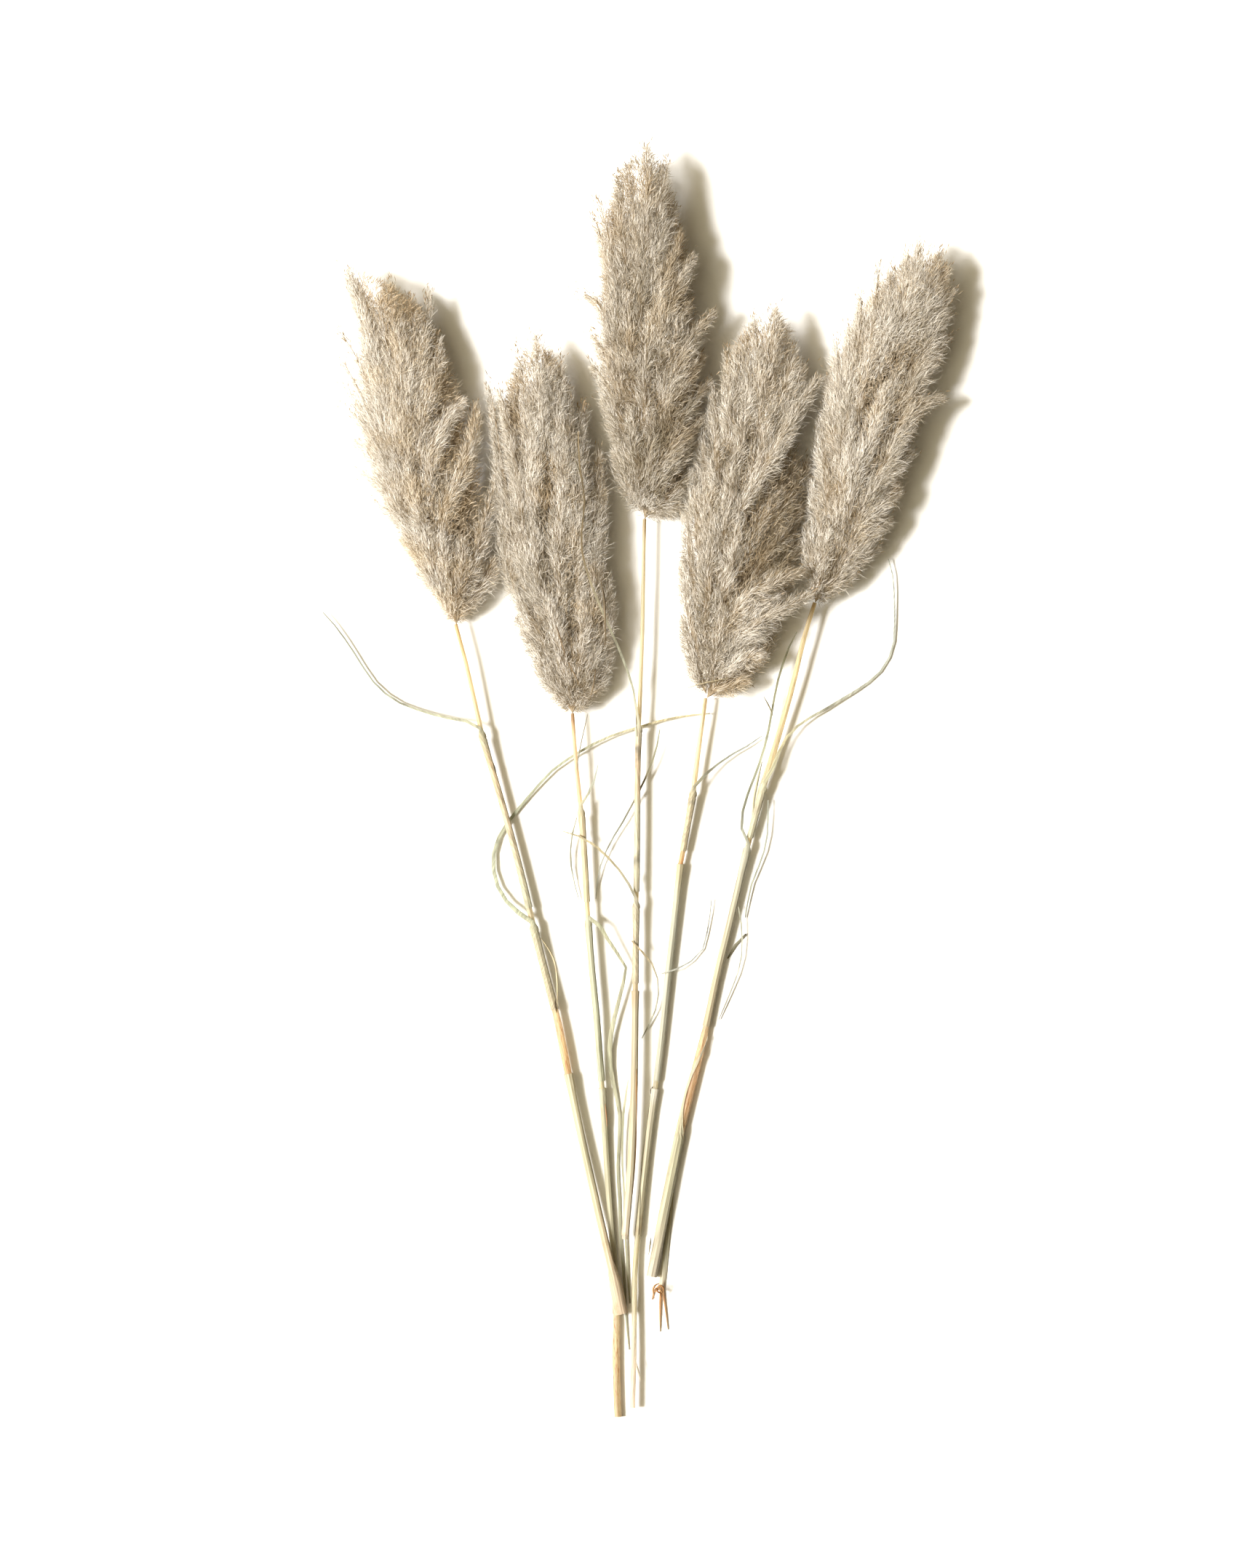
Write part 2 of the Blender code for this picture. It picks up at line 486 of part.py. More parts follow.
def fibre_helper(name, points, where):
    """A fibre as a closed mesh, for the union with the piece that it grows from."""
    run = smooth([[*world(x, y, z), r] for x, y, z, r in points], 5.0)
    curve = tube_curve(name, run, 1)
    guide = bpy.data.objects.new(name + "_curve", curve)
    where.objects.link(guide)
    bpy.context.view_layer.update()
    mesh = bpy.data.meshes.new_from_object(guide.evaluated_get(bpy.context.evaluated_depsgraph_get()))
    welded = bmesh.new()
    welded.from_mesh(mesh)
    bmesh.ops.remove_doubles(welded, verts=welded.verts, dist=0.00001)
    bmesh.ops.recalc_face_normals(welded, faces=welded.faces)
    welded.to_mesh(mesh)
    welded.free()
    made = bpy.data.objects.new(name, mesh)
    where.objects.link(made)
    for helper in (guide, made):
        helper.hide_render = True
        helper.display_type = "WIRE"
    return made


def main():
    for old in list(bpy.data.objects):
        bpy.data.objects.remove(old, do_unlink=True)
    bundle = bpy.data.collections.new("pampas_grass_bundle")
    helpers = bpy.data.collections.new("helpers")
    bpy.context.scene.collection.children.link(bundle)
    bpy.context.scene.collection.children.link(helpers)
    helpers.hide_render = True

    made = []
    for number, (tip, rows, base) in PLUMES.items():
        finish = material(f"plume_{number}_mat", PLUME_TONE, 0.95)
        made.append(plume(f"plume_{number}", tip, rows, base, finish, bundle))

    for number in CULMS:
        finish = material(f"stem_{number}_mat", CULM_TONE, 0.6)
        made.append(add(f"stem_{number}", tube_curve(f"stem_{number}", culm_run(number), 2), finish, bundle))

    for name, (number, foot, collar, blade) in LEAVES.items():
        finish = material(f"{name}_mat", SHEATH_TONE, 0.65)
        throat = throat_keys(number, collar, blade[0][3]) if blade else []
        keys = joined(sheath_keys(number, foot, collar), throat, blade_keys(blade))
        made.append(leaf(name, keys, 8, LEAF_T, finish, bundle))

    finish = material("leaf_1c_mat", SHEATH_TONE, 0.65)
    keys = list(reversed(sheath_keys(1, 1735, 1476)))
    flare = smooth([keys[-1]] + blade_keys(FLARE), SHEATH_STEP * 0.5 * PLAN / MM)
    made.append(leaf("leaf_1c", keys[:-1] + flare, 8, LEAF_T, finish, bundle))

    finish = material("leaf_5c_mat", SHEATH_TONE, 0.65)
    split = smooth(SPLIT_5, SPLIT_STEP)
    keys = sheath_keys(5, 1755, SPLIT_5[0][0] + SPLIT_STEP, facing=180.0)[:-1]
    keys += [on_culm(5, y, facing, half, SPLIT_LIFT) for y, facing, half in split]
    made.append(leaf("leaf_5c", keys, 8, LEAF_T, finish, bundle))

    for name, rows in STRIPS.items():
        finish = material(f"{name}_mat", STRIP_TONE, 0.7)
        run = smooth([[*world(x, y, z), half, 0.12, 90.0] for x, y, z, half in rows], LEAF_STEP * PLAN / MM)
        for row in run:
            row[3] = max(row[3], 0.3)
        made.append(leaf(name, run, 2, STRIP_T, finish, bundle))

    finish = material("torn_sheath_mat", SHEATH_TONE, 0.7)
    run = smooth(blade_keys(TORN), LEAF_STEP * PLAN / MM)
    torn = leaf("torn_sheath", run, 4, LEAF_T, finish, bundle)
    for i, points in enumerate(FIBRES, 1):
        joint = torn.modifiers.new(f"fibre_{i}", "BOOLEAN")
        joint.operation = "UNION"
        joint.solver = "EXACT"
        joint.object = fibre_helper(f"fibre_{i}", points, helpers)
    made.append(torn)

    bpy.context.view_layer.update()
    graph = bpy.context.evaluated_depsgraph_get()
    low = [math.inf] * 3
    high = [-math.inf] * 3
    for piece in made:
        shown = piece.evaluated_get(graph)
        mesh = shown.to_mesh()
        for vertex in mesh.vertices:
            at = shown.matrix_world @ vertex.co
            low = [min(a, b) for a, b in zip(low, at)]
            high = [max(a, b) for a, b in zip(high, at)]
        shown.to_mesh_clear()
    shift = Vector((-(low[0] + high[0]) / 2, -(low[1] + high[1]) / 2, -low[2]))
    for piece in made + list(helpers.objects):
        piece.location += shift
    print("shift", [round(v, 6) for v in shift], "size", [round(b - a, 5) for a, b in zip(low, high)])


main()
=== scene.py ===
"""Looks for the bundle of five dried pampas stems: feathery plumes, culms and dry leaves
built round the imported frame, on a pale floor under one soft light from the left."""

import math

import bpy
import numpy as np
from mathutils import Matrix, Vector
from mathutils.bvhtree import BVHTree

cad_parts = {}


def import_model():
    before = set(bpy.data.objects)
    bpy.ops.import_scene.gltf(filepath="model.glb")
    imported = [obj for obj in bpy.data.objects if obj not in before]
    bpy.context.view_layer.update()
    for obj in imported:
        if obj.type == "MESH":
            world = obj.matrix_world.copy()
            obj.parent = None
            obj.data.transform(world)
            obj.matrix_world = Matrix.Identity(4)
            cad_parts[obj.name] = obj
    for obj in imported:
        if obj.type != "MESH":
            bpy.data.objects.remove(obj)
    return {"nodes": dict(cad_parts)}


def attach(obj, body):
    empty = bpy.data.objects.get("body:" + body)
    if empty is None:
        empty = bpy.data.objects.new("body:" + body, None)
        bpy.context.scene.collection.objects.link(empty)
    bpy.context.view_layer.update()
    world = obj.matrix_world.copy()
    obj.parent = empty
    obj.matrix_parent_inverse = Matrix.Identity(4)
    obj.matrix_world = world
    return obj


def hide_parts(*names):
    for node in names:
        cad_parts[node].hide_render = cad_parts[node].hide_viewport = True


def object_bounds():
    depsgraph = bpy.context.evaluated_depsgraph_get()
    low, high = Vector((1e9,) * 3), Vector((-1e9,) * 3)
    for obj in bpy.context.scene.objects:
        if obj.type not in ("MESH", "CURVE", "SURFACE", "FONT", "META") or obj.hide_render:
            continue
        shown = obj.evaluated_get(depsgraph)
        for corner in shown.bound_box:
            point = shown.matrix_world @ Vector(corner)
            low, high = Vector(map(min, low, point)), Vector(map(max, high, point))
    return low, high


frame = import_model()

CAD_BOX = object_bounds()
MM = 0.001
PLAN = 0.00067  # one unit of the plan grid, in metres
PLAN_LEFT, PLAN_TOP = 443.49, 209.95  # plan x and y of the frame's left and far sides

NODES = frame["nodes"]


def world(x, y, z=0.0):
    """Plan point and height in mm, as metres in the frame."""
    return np.array([CAD_BOX[0].x + (x - PLAN_LEFT) * PLAN, CAD_BOX[1].y - (y - PLAN_TOP) * PLAN, z * MM])


def unit(v):
    return v / np.maximum(np.linalg.norm(v, axis=-1, keepdims=True), 1e-12)


def smooth_run(points, count):
    """A Catmull-Rom curve through rows of numbers, sampled evenly along its first three."""
    p = np.asarray(points, float)
    if len(p) == 2:
        p = np.array([p[0], (p[0] + p[1]) / 2, p[1]])
    p = np.vstack([2 * p[0] - p[1], p, 2 * p[-1] - p[-2]])
    t = np.linspace(0, 1, 16, endpoint=False)[:, None]
    fine = [
        0.5 * (2 * b + (c - a) * t + (2 * a - 5 * b + 4 * c - d) * t**2 + (3 * b - a - 3 * c + d) * t**3)
        for a, b, c, d in zip(p, p[1:], p[2:], p[3:])
    ]
    fine = np.vstack(fine + [p[-2:-1]])
    along = np.concatenate([[0], np.cumsum(np.linalg.norm(np.diff(fine[:, :3], axis=0), axis=1))])
    want = np.linspace(0, along[-1], count)
    return np.stack([np.interp(want, along, fine[:, i]) for i in range(fine.shape[1])], axis=1), along[-1]


# ---------------------------------------------------------------- meshes


def mesh_piece(name, verts, faces, uvs, finish, smooth=True):
    """A mesh object from arrays: faces is a list of index arrays, each (n, 3) or (n, 4), and
    uvs gives each vertex its place on the map."""
    mesh = bpy.data.meshes.new(name)
    mesh.vertices.add(len(verts))
    mesh.vertices.foreach_set("co", np.ascontiguousarray(verts, np.float32).ravel())
    loops = np.concatenate([f.ravel() for f in faces]).astype(np.int32)
    sizes = np.concatenate([np.full(len(f), f.shape[1]) for f in faces]).astype(np.int32)
    starts = np.concatenate([[0], np.cumsum(sizes)[:-1]]).astype(np.int32)
    mesh.loops.add(len(loops))
    mesh.loops.foreach_set("vertex_index", loops)
    mesh.polygons.add(len(sizes))
    mesh.polygons.foreach_set("loop_start", starts)
    mesh.update(calc_edges=True)
    layer = mesh.uv_layers.new(name="OFBake")
    layer.data.foreach_set("uv", np.ascontiguousarray(uvs[loops], np.float32).ravel())
    mesh.polygons.foreach_set("use_smooth", np.full(len(sizes), smooth))
    mesh.validate()
    mesh.materials.append(finish)
    made = bpy.data.objects.new(name, mesh)
    bpy.context.scene.collection.objects.link(made)
    return made


# ---------------------------------------------------------------- plume envelopes


class Envelope:
    """The space a CAD plume takes, read as level-y slices of its solid."""

    def __init__(self, node):
        mesh = NODES[node].data
        co = np.empty(len(mesh.vertices) * 3, np.float32)
        mesh.vertices.foreach_get("co", co)
        co = co.reshape(-1, 3).astype(float)
        edges = np.empty(len(mesh.edges) * 2, np.int32)
        mesh.edges.foreach_get("vertices", edges)
        a, b = co[edges.reshape(-1, 2)].transpose(1, 0, 2)
        self.y0, self.y1 = co[:, 1].min(), co[:, 1].max()
        self.ys = np.linspace(self.y0 + 0.0008, self.y1 - 0.0008, 90)
        rows = []
        for y in self.ys:
            cross = (a[:, 1] - y) * (b[:, 1] - y) <= 0
            p, q = a[cross], b[cross]
            t = ((y - p[:, 1]) / np.where(abs(q[:, 1] - p[:, 1]) < 1e-9, 1e-9, q[:, 1] - p[:, 1])).clip(0, 1)
            hit = p + (q - p) * t[:, None]
            rows.append((hit[:, 0].min(), hit[:, 0].max(), hit[:, 2].min(), hit[:, 2].max()))
        self.rows = np.array(rows)
        self.length = self.y1 - self.y0

    def at(self, y):
        """Centre x, half-width, centre z and half-height at y."""
        left, right, low, high = (np.interp(y, self.ys, self.rows[:, i]) for i in range(4))
        return (left + right) / 2, (right - left) / 2, (low + high) / 2, (high - low) / 2

    def point(self, s, phi, q):
        """A point at share s of the way from base to tip, at angle phi round the axis (0 is
        right, 90 degrees up) and share q of the way out."""
        y = self.y0 + np.asarray(s) * self.length
        cx, hx, cz, hz = self.at(y)
        c, n = np.cos(phi), np.sin(phi)
        grow = (abs(c) ** 2.4 + abs(n) ** 2.4) ** (-1 / 2.4)
        return np.stack([cx + hx * c * grow * q, y + 0 * c, cz + hz * n * grow * q], axis=-1)

    def depth(self, p):
        """How far out a point lies: 0 on the axis, 1 at the skin."""
        cx, hx, cz, hz = self.at(p[..., 1])
        return np.sqrt(((p[..., 0] - cx) / np.maximum(hx, 1e-3)) ** 2 + ((p[..., 2] - cz) / np.maximum(hz, 1e-3)) ** 2)

    def top(self, x, y):
        """Height of the upper skin over a point of the plan."""
        cx, hx, cz, hz = self.at(y)
        across = min(1.0, abs(x - cx) / max(hx, 1e-3))
        return cz + hz * (1 - across**2.4) ** (1 / 2.4)


# ---------------------------------------------------------------- plumes

CLOUD, FLUFF, STRANDS, STRAYS = 17000, 35500, 26000, 5000  # hairs of each kind on each plume
HIGH = 0.0565  # hairs that rise past this height bend over

# Branches that show on the upper side of each plume: how far each is lifted above the plume's
# skin in mm, its radius and how wispy its end is (0 to 1), then its way on the plan from the
# rachis to its tip.
TAILS = {
    1: [
        (-3, 15, 0.0, [(628, 842), (650, 822), (668, 795), (680, 762)]),
        (0, 15, 0.1, [(625, 832), (645, 790), (657, 745), (670, 700), (686, 655)]),
        (1, 16, 0.1, [(606, 760), (612, 700), (634, 650), (650, 600), (652, 552)]),
        (2, 15, 0.1, [(594, 700), (592, 640), (606, 595), (626, 565), (640, 548)]),
        (0, 13, 0.5, [(580, 640), (579, 590), (592, 540), (602, 500), (602, 462)]),
        (-4, 10, 0.8, [(572, 580), (572, 520), (582, 470), (588, 430), (590, 398)]),
        (-5, 10, 0.8, [(560, 520), (564, 480), (568, 440), (564, 405)]),
        (0, 11, 0.8, [(562, 640), (553, 570), (550, 520), (546, 470), (540, 425), (538, 388)]),
        (4, 14, 0.25, [(560, 690), (548, 620), (532, 550), (518, 490), (503, 430), (488, 393), (474, 368)]),
        (1, 13, 0.2, [(545, 600), (524, 530), (514, 480), (505, 440), (498, 410)]),
        (3, 14, 0.1, [(540, 580), (520, 510), (507, 455), (496, 415), (486, 388)]),
        (3, 16, 0.0, [(526, 492), (512, 452), (501, 420), (486, 386)]),
        (2, 13, 0.0, [(512, 452), (501, 424), (491, 400), (478, 378)]),
        (0, 13, 0.3, [(552, 600), (532, 540), (523, 500), (517, 465), (512, 432)]),
        (0, 12, 0.6, [(556, 580), (542, 520), (534, 480), (528, 440), (524, 408)]),
        (0, 14, 0.2, [(566, 560), (560, 510), (556, 470), (553, 432)]),
        (-1, 14, 0.2, [(582, 560), (580, 510), (578, 470), (576, 436)]),
        (-1, 9, 0.9, [(548, 640), (522, 570), (498, 505), (468, 456)]),
        (-2, 10, 0.8, [(548, 660), (520, 595), (498, 545), (474, 500)]),
        (-2, 11, 0.7, [(556, 690), (528, 630), (502, 575), (477, 532)]),
        (0, 14, 0.6, [(562, 705), (536, 645), (506, 592), (478, 562)]),
        (0, 15, 0.5, [(570, 735), (545, 680), (514, 630), (484, 602)]),
        (0, 15, 0.4, [(585, 770), (560, 715), (528, 672), (494, 648)]),
        (0, 15, 0.3, [(604, 806), (578, 750), (548, 712), (516, 692)]),
        (0, 13, 0.2, [(614, 826), (596, 790), (574, 762), (548, 736)]),
        (0, 11, 0.2, [(621, 842), (608, 818), (590, 798), (572, 778)]),
        (3, 16, 0.0, [(614, 826), (600, 775), (582, 728), (574, 690)]),
        (2, 16, 0.0, [(600, 770), (582, 715), (568, 665), (560, 628)]),
        (3, 15, 0.0, [(622, 845), (617, 800), (612, 760), (604, 728)]),
        (1, 14, 0.0, [(627, 846), (632, 800), (636, 762), (638, 735)]),
        (2, 15, 0.0, [(572, 650), (556, 600), (545, 560), (538, 520)]),
        (0, 14, 0.0, [(572, 610), (566, 570), (564, 535), (560, 505)]),
    ],
    2: [
        (2, 16, 0.1, [(775, 860), (768, 800), (769, 740), (772, 680), (774, 620), (776, 580)]),
        (0, 13, 0.6, [(798, 860), (794, 790), (797, 720), (799, 650), (797, 605), (795, 562)]),
        (-2, 11, 0.8, [(788, 660), (792, 620), (798, 585), (804, 556)]),
        (0, 14, 0.2, [(812, 900), (812, 840), (816, 780), (822, 720), (828, 668)]),
        (-2, 13, 0.2, [(806, 780), (814, 720), (820, 660), (822, 615)]),
        (1, 15, 0.1, [(795, 962), (814, 920), (828, 870), (830, 820), (828, 778)]),
        (-2, 13, 0.1, [(790, 972), (812, 948), (828, 915), (836, 880)]),
        (2, 15, 0.6, [(752, 860), (732, 800), (722, 740), (716, 680), (706, 620), (696, 570), (686, 532)]),
        (0, 13, 0.7, [(738, 830), (714, 760), (700, 700), (690, 640), (682, 580), (672, 526)]),
        (-1, 14, 0.3, [(730, 850), (708, 800), (697, 740), (690, 690), (686, 650)]),
        (0, 12, 0.8, [(748, 760), (736, 700), (731, 640), (728, 580), (720, 530), (712, 480)]),
        (3, 13, 0.5, [(752, 640), (748, 590), (742, 540), (739, 500), (737, 462)]),
        (0, 11, 0.8, [(762, 660), (765, 600), (768, 550), (772, 492)]),
        (0, 11, 0.6, [(776, 680), (779, 620), (779, 575), (780, 530)]),
        (0, 11, 0.7, [(760, 580), (756, 545), (754, 515), (750, 486)]),
        (1, 14, 0.3, [(778, 962), (755, 920), (732, 885), (708, 846)]),
        (0, 12, 0.3, [(782, 970), (766, 950), (750, 932), (736, 910)]),
        (2, 15, 0.2, [(770, 930), (748, 885), (728, 845), (708, 800)]),
        (3, 16, 0.0, [(786, 966), (776, 915), (764, 865), (752, 815)]),
        (2, 15, 0.0, [(790, 962), (796, 910), (802, 860), (800, 815)]),
        (1, 14, 0.1, [(789, 970), (802, 942), (812, 912), (818, 880)]),
        (3, 15, 0.0, [(760, 860), (742, 805), (735, 750), (734, 705)]),
        (1, 14, 0.0, [(744, 700), (740, 650), (738, 605), (738, 570)]),
        (0, 13, 0.0, [(790, 780), (786, 730), (788, 680), (788, 640)]),
    ],
    3: [
        (0, 13, 0.0, [(888, 708), (905, 702), (924, 698), (942, 690)]),
        (1, 14, 0.1, [(890, 704), (914, 688), (934, 668), (952, 648)]),
        (2, 15, 0.1, [(890, 698), (908, 662), (930, 632), (956, 606)]),
        (2, 15, 0.2, [(892, 690), (906, 645), (928, 612), (950, 590), (966, 574)]),
        (1, 14, 0.2, [(914, 650), (924, 606), (942, 566), (960, 540), (980, 522)]),
        (2, 14, 0.2, [(908, 620), (922, 565), (940, 525), (954, 502), (968, 490)]),
        (3, 14, 0.3, [(905, 600), (918, 545), (934, 500), (954, 460), (984, 428)]),
        (2, 14, 0.2, [(908, 560), (918, 500), (930, 455), (946, 416)]),
        (3, 15, 0.2, [(900, 520), (912, 460), (924, 412), (940, 375), (954, 350)]),
        (1, 13, 0.4, [(895, 470), (906, 415), (917, 372), (927, 344), (934, 318)]),
        (0, 11, 0.6, [(892, 410), (902, 362), (912, 322), (930, 284)]),
        (0, 9, 0.8, [(898, 360), (903, 310), (908, 265), (916, 221)]),
        (3, 13, 0.4, [(886, 420), (888, 360), (889, 305), (890, 255), (888, 203)]),
        (0, 9, 0.9, [(876, 400), (875, 345), (871, 290), (865, 230)]),
        (-1, 9, 0.9, [(862, 400), (858, 345), (854, 295), (848, 240)]),
        (-1, 10, 0.9, [(856, 440), (848, 385), (838, 330), (822, 276)]),
        (-2, 9, 0.9, [(846, 420), (838, 375), (828, 335), (815, 298)]),
        (1, 14, 0.6, [(862, 560), (850, 500), (838, 450), (822, 418), (799, 402)]),
        (-1, 13, 0.6, [(856, 560), (845, 520), (830, 485), (812, 458)]),
        (0, 14, 0.5, [(866, 620), (852, 575), (836, 535), (814, 500)]),
        (0, 14, 0.2, [(878, 680), (866, 635), (852, 600), (840, 570), (828, 546)]),
        (-1, 13, 0.1, [(880, 700), (868, 672), (856, 645), (846, 612)]),
        (3, 14, 0.0, [(892, 610), (886, 550), (888, 500), (894, 455), (894, 425)]),
        (2, 13, 0.0, [(908, 560), (905, 500), (910, 450), (906, 405)]),
        (2, 14, 0.0, [(876, 560), (868, 505), (866, 450), (864, 400)]),
        (1, 13, 0.0, [(884, 480), (880, 430), (882, 385), (884, 345)]),
        (1, 14, 0.0, [(872, 520), (856, 470), (848, 425), (842, 385)]),
        (1, 15, 0.0, [(884, 698), (878, 650), (872, 600), (868, 555)]),
        (1, 13, 0.0, [(888, 700), (894, 650), (898, 600), (896, 560)]),
        (0, 13, 0.0, [(900, 500), (908, 440), (906, 380), (902, 330)]),
    ],
    4: [
        (2, 13, 0.4, [(1050, 560), (1056, 510), (1061, 470), (1064, 420)]),
        (0, 11, 0.7, [(1042, 600), (1045, 550), (1043, 500), (1036, 437)]),
        (0, 10, 0.8, [(1026, 600), (1028, 550), (1028, 505), (1022, 462)]),
        (0, 11, 0.7, [(1000, 620), (1003, 570), (1003, 525), (999, 480)]),
        (0, 14, 0.3, [(988, 690), (986, 630), (985, 580), (980, 528)]),
        (0, 14, 0.2, [(972, 720), (970, 660), (967, 610), (968, 566)]),
        (0, 14, 0.1, [(965, 790), (960, 730), (957, 685), (951, 640)]),
        (0, 14, 0.1, [(958, 850), (953, 795), (948, 750), (943, 704)]),
        (0, 14, 0.1, [(966, 925), (955, 875), (945, 825), (939, 768)]),
        (-2, 13, 0.1, [(970, 946), (958, 918), (948, 885), (939, 848)]),
        (-2, 12, 0.1, [(970, 952), (964, 935), (957, 915), (952, 893)]),
        (0, 14, 0.5, [(1060, 590), (1074, 545), (1084, 510), (1090, 474)]),
        (0, 14, 0.5, [(1062, 610), (1080, 565), (1092, 530), (1104, 500)]),
        (8, 16, 0.3, [(1002, 725), (1028, 685), (1054, 640), (1080, 590), (1102, 552), (1126, 514)]),
        (-5, 15, 0.1, [(1008, 790), (1034, 740), (1056, 700), (1078, 668)]),
        (-11, 15, 0.1, [(1030, 800), (1060, 752), (1086, 712), (1112, 678)]),
        (-13, 15, 0.1, [(1038, 820), (1068, 782), (1092, 752), (1110, 722)]),
        (-12, 14, 0.1, [(1060, 720), (1080, 690), (1098, 660), (1110, 630)]),
        (7, 14, 0.3, [(985, 885), (1010, 842), (1040, 812), (1076, 796), (1108, 784)]),
        (10, 14, 0.3, [(990, 912), (1020, 872), (1058, 846), (1090, 830), (1118, 814)]),
        (9, 12, 0.2, [(988, 935), (1014, 910), (1036, 902), (1054, 905)]),
        (6, 13, 0.2, [(980, 948), (1000, 944), (1018, 937), (1034, 940)]),
        (-3, 13, 0.2, [(1000, 900), (1026, 872), (1042, 872), (1054, 876)]),
        (1, 15, 0.2, [(985, 925), (1012, 890), (1042, 870), (1070, 856)]),
        (2, 15, 0.2, [(984, 932), (1008, 916), (1030, 906), (1052, 894)]),
        (1, 15, 0.2, [(990, 900), (1020, 852), (1050, 828), (1078, 814)]),
        (2, 15, 0.0, [(982, 880), (996, 815), (1010, 755), (1018, 705)]),
        (2, 16, 0.0, [(974, 910), (972, 845), (976, 780), (986, 720), (994, 682)]),
        (1, 15, 0.0, [(988, 790), (996, 725), (1006, 670), (1016, 615)]),
        (2, 15, 0.0, [(1004, 690), (1014, 630), (1024, 580), (1034, 535)]),
        (1, 14, 0.0, [(974, 800), (974, 740), (978, 690), (984, 645)]),
        (1, 14, 0.0, [(1034, 680), (1046, 620), (1056, 575), (1066, 535)]),
        (0, 14, 0.0, [(1004, 600), (1012, 550), (1016, 505), (1014, 475)]),
        (1, 15, 0.0, [(978, 940), (986, 900), (994, 862), (1000, 830)]),
    ],
    5: [
        (0, 12, 0.7, [(1226, 490), (1240, 435), (1245, 390), (1246, 344)]),
        (2, 13, 0.5, [(1240, 490), (1252, 435), (1258, 385), (1262, 333)]),
        (0, 12, 0.7, [(1250, 500), (1266, 440), (1278, 390), (1291, 344)]),
        (-1, 13, 0.6, [(1258, 510), (1276, 460), (1292, 420), (1313, 396)]),
        (-1, 13, 0.5, [(1252, 480), (1272, 430), (1288, 395), (1302, 366)]),
        (-1, 13, 0.5, [(1244, 560), (1264, 515), (1284, 482), (1306, 462)]),
        (-1, 13, 0.5, [(1250, 530), (1270, 480), (1288, 448), (1306, 426)]),
        (-1, 13, 0.3, [(1232, 570), (1250, 530), (1268, 505), (1290, 488)]),
        (3, 14, 0.4, [(1212, 645), (1234, 592), (1258, 560), (1300, 548)]),
        (0, 11, 0.8, [(1208, 500), (1216, 450), (1221, 410), (1223, 368)]),
        (1, 10, 0.7, [(1192, 500), (1199, 450), (1204, 410), (1207, 364)]),
        (0, 13, 0.6, [(1176, 530), (1180, 480), (1182, 445), (1183, 406)]),
        (0, 13, 0.6, [(1164, 570), (1167, 520), (1168, 482), (1166, 446)]),
        (0, 13, 0.6, [(1154, 590), (1153, 540), (1152, 505), (1149, 466)]),
        (0, 14, 0.3, [(1148, 630), (1146, 585), (1143, 550), (1138, 516)]),
        (0, 14, 0.1, [(1138, 710), (1136, 655), (1132, 610), (1128, 570)]),
        (0, 13, 0.1, [(1128, 770), (1127, 725), (1122, 690), (1116, 658)]),
        (0, 13, 0.1, [(1118, 800), (1116, 770), (1112, 745), (1108, 716)]),
        (2, 15, 0.2, [(1178, 725), (1204, 662), (1230, 612), (1262, 566)]),
        (0, 15, 0.2, [(1166, 745), (1190, 694), (1216, 655), (1256, 620)]),
        (2, 15, 0.2, [(1158, 765), (1184, 722), (1210, 694), (1238, 672)]),
        (1, 14, 0.2, [(1146, 792), (1172, 758), (1198, 732), (1226, 712)]),
        (1, 13, 0.2, [(1138, 805), (1164, 778), (1188, 762), (1210, 748)]),
        (1, 12, 0.2, [(1126, 820), (1146, 802), (1162, 796), (1176, 786)]),
        (3, 16, 0.0, [(1148, 770), (1164, 702), (1176, 650), (1188, 605)]),
        (1, 15, 0.0, [(1170, 690), (1190, 625), (1205, 572), (1220, 525)]),
        (-3, 14, 0.0, [(1196, 620), (1214, 572), (1228, 530), (1240, 488)]),
        (3, 16, 0.0, [(1142, 750), (1154, 695), (1165, 640), (1172, 590)]),
        (2, 15, 0.0, [(1170, 600), (1182, 550), (1192, 505), (1202, 465)]),
        (1, 14, 0.0, [(1152, 650), (1160, 600), (1168, 555), (1176, 515)]),
        (1, 14, 0.0, [(1205, 520), (1218, 470), (1228, 430), (1234, 395)]),
        (1, 13, 0.0, [(1122, 822), (1128, 790), (1136, 758), (1142, 725)]),
    ],
}

# Per plume: a seed, the tone and warmth of the hair, and how far the hair is darkened towards the left and the right
# flank. The flank darkening is painted shade, heaviest on the right, away from the light.
PLUME_LOOK = {
    1: dict(seed=11, tone=0.55, warm=0.22, left=0.03, right=0.28),
    2: dict(seed=22, tone=0.455, warm=-0.10, left=0.26, right=0.26),
    3: dict(seed=33, tone=0.265, warm=0.04, left=0.20, right=0.30),
    4: dict(seed=44, tone=0.38, warm=-0.10, left=0.26, right=0.34),
    5: dict(seed=55, tone=0.455, warm=-0.04, left=0.18, right=0.62),
}
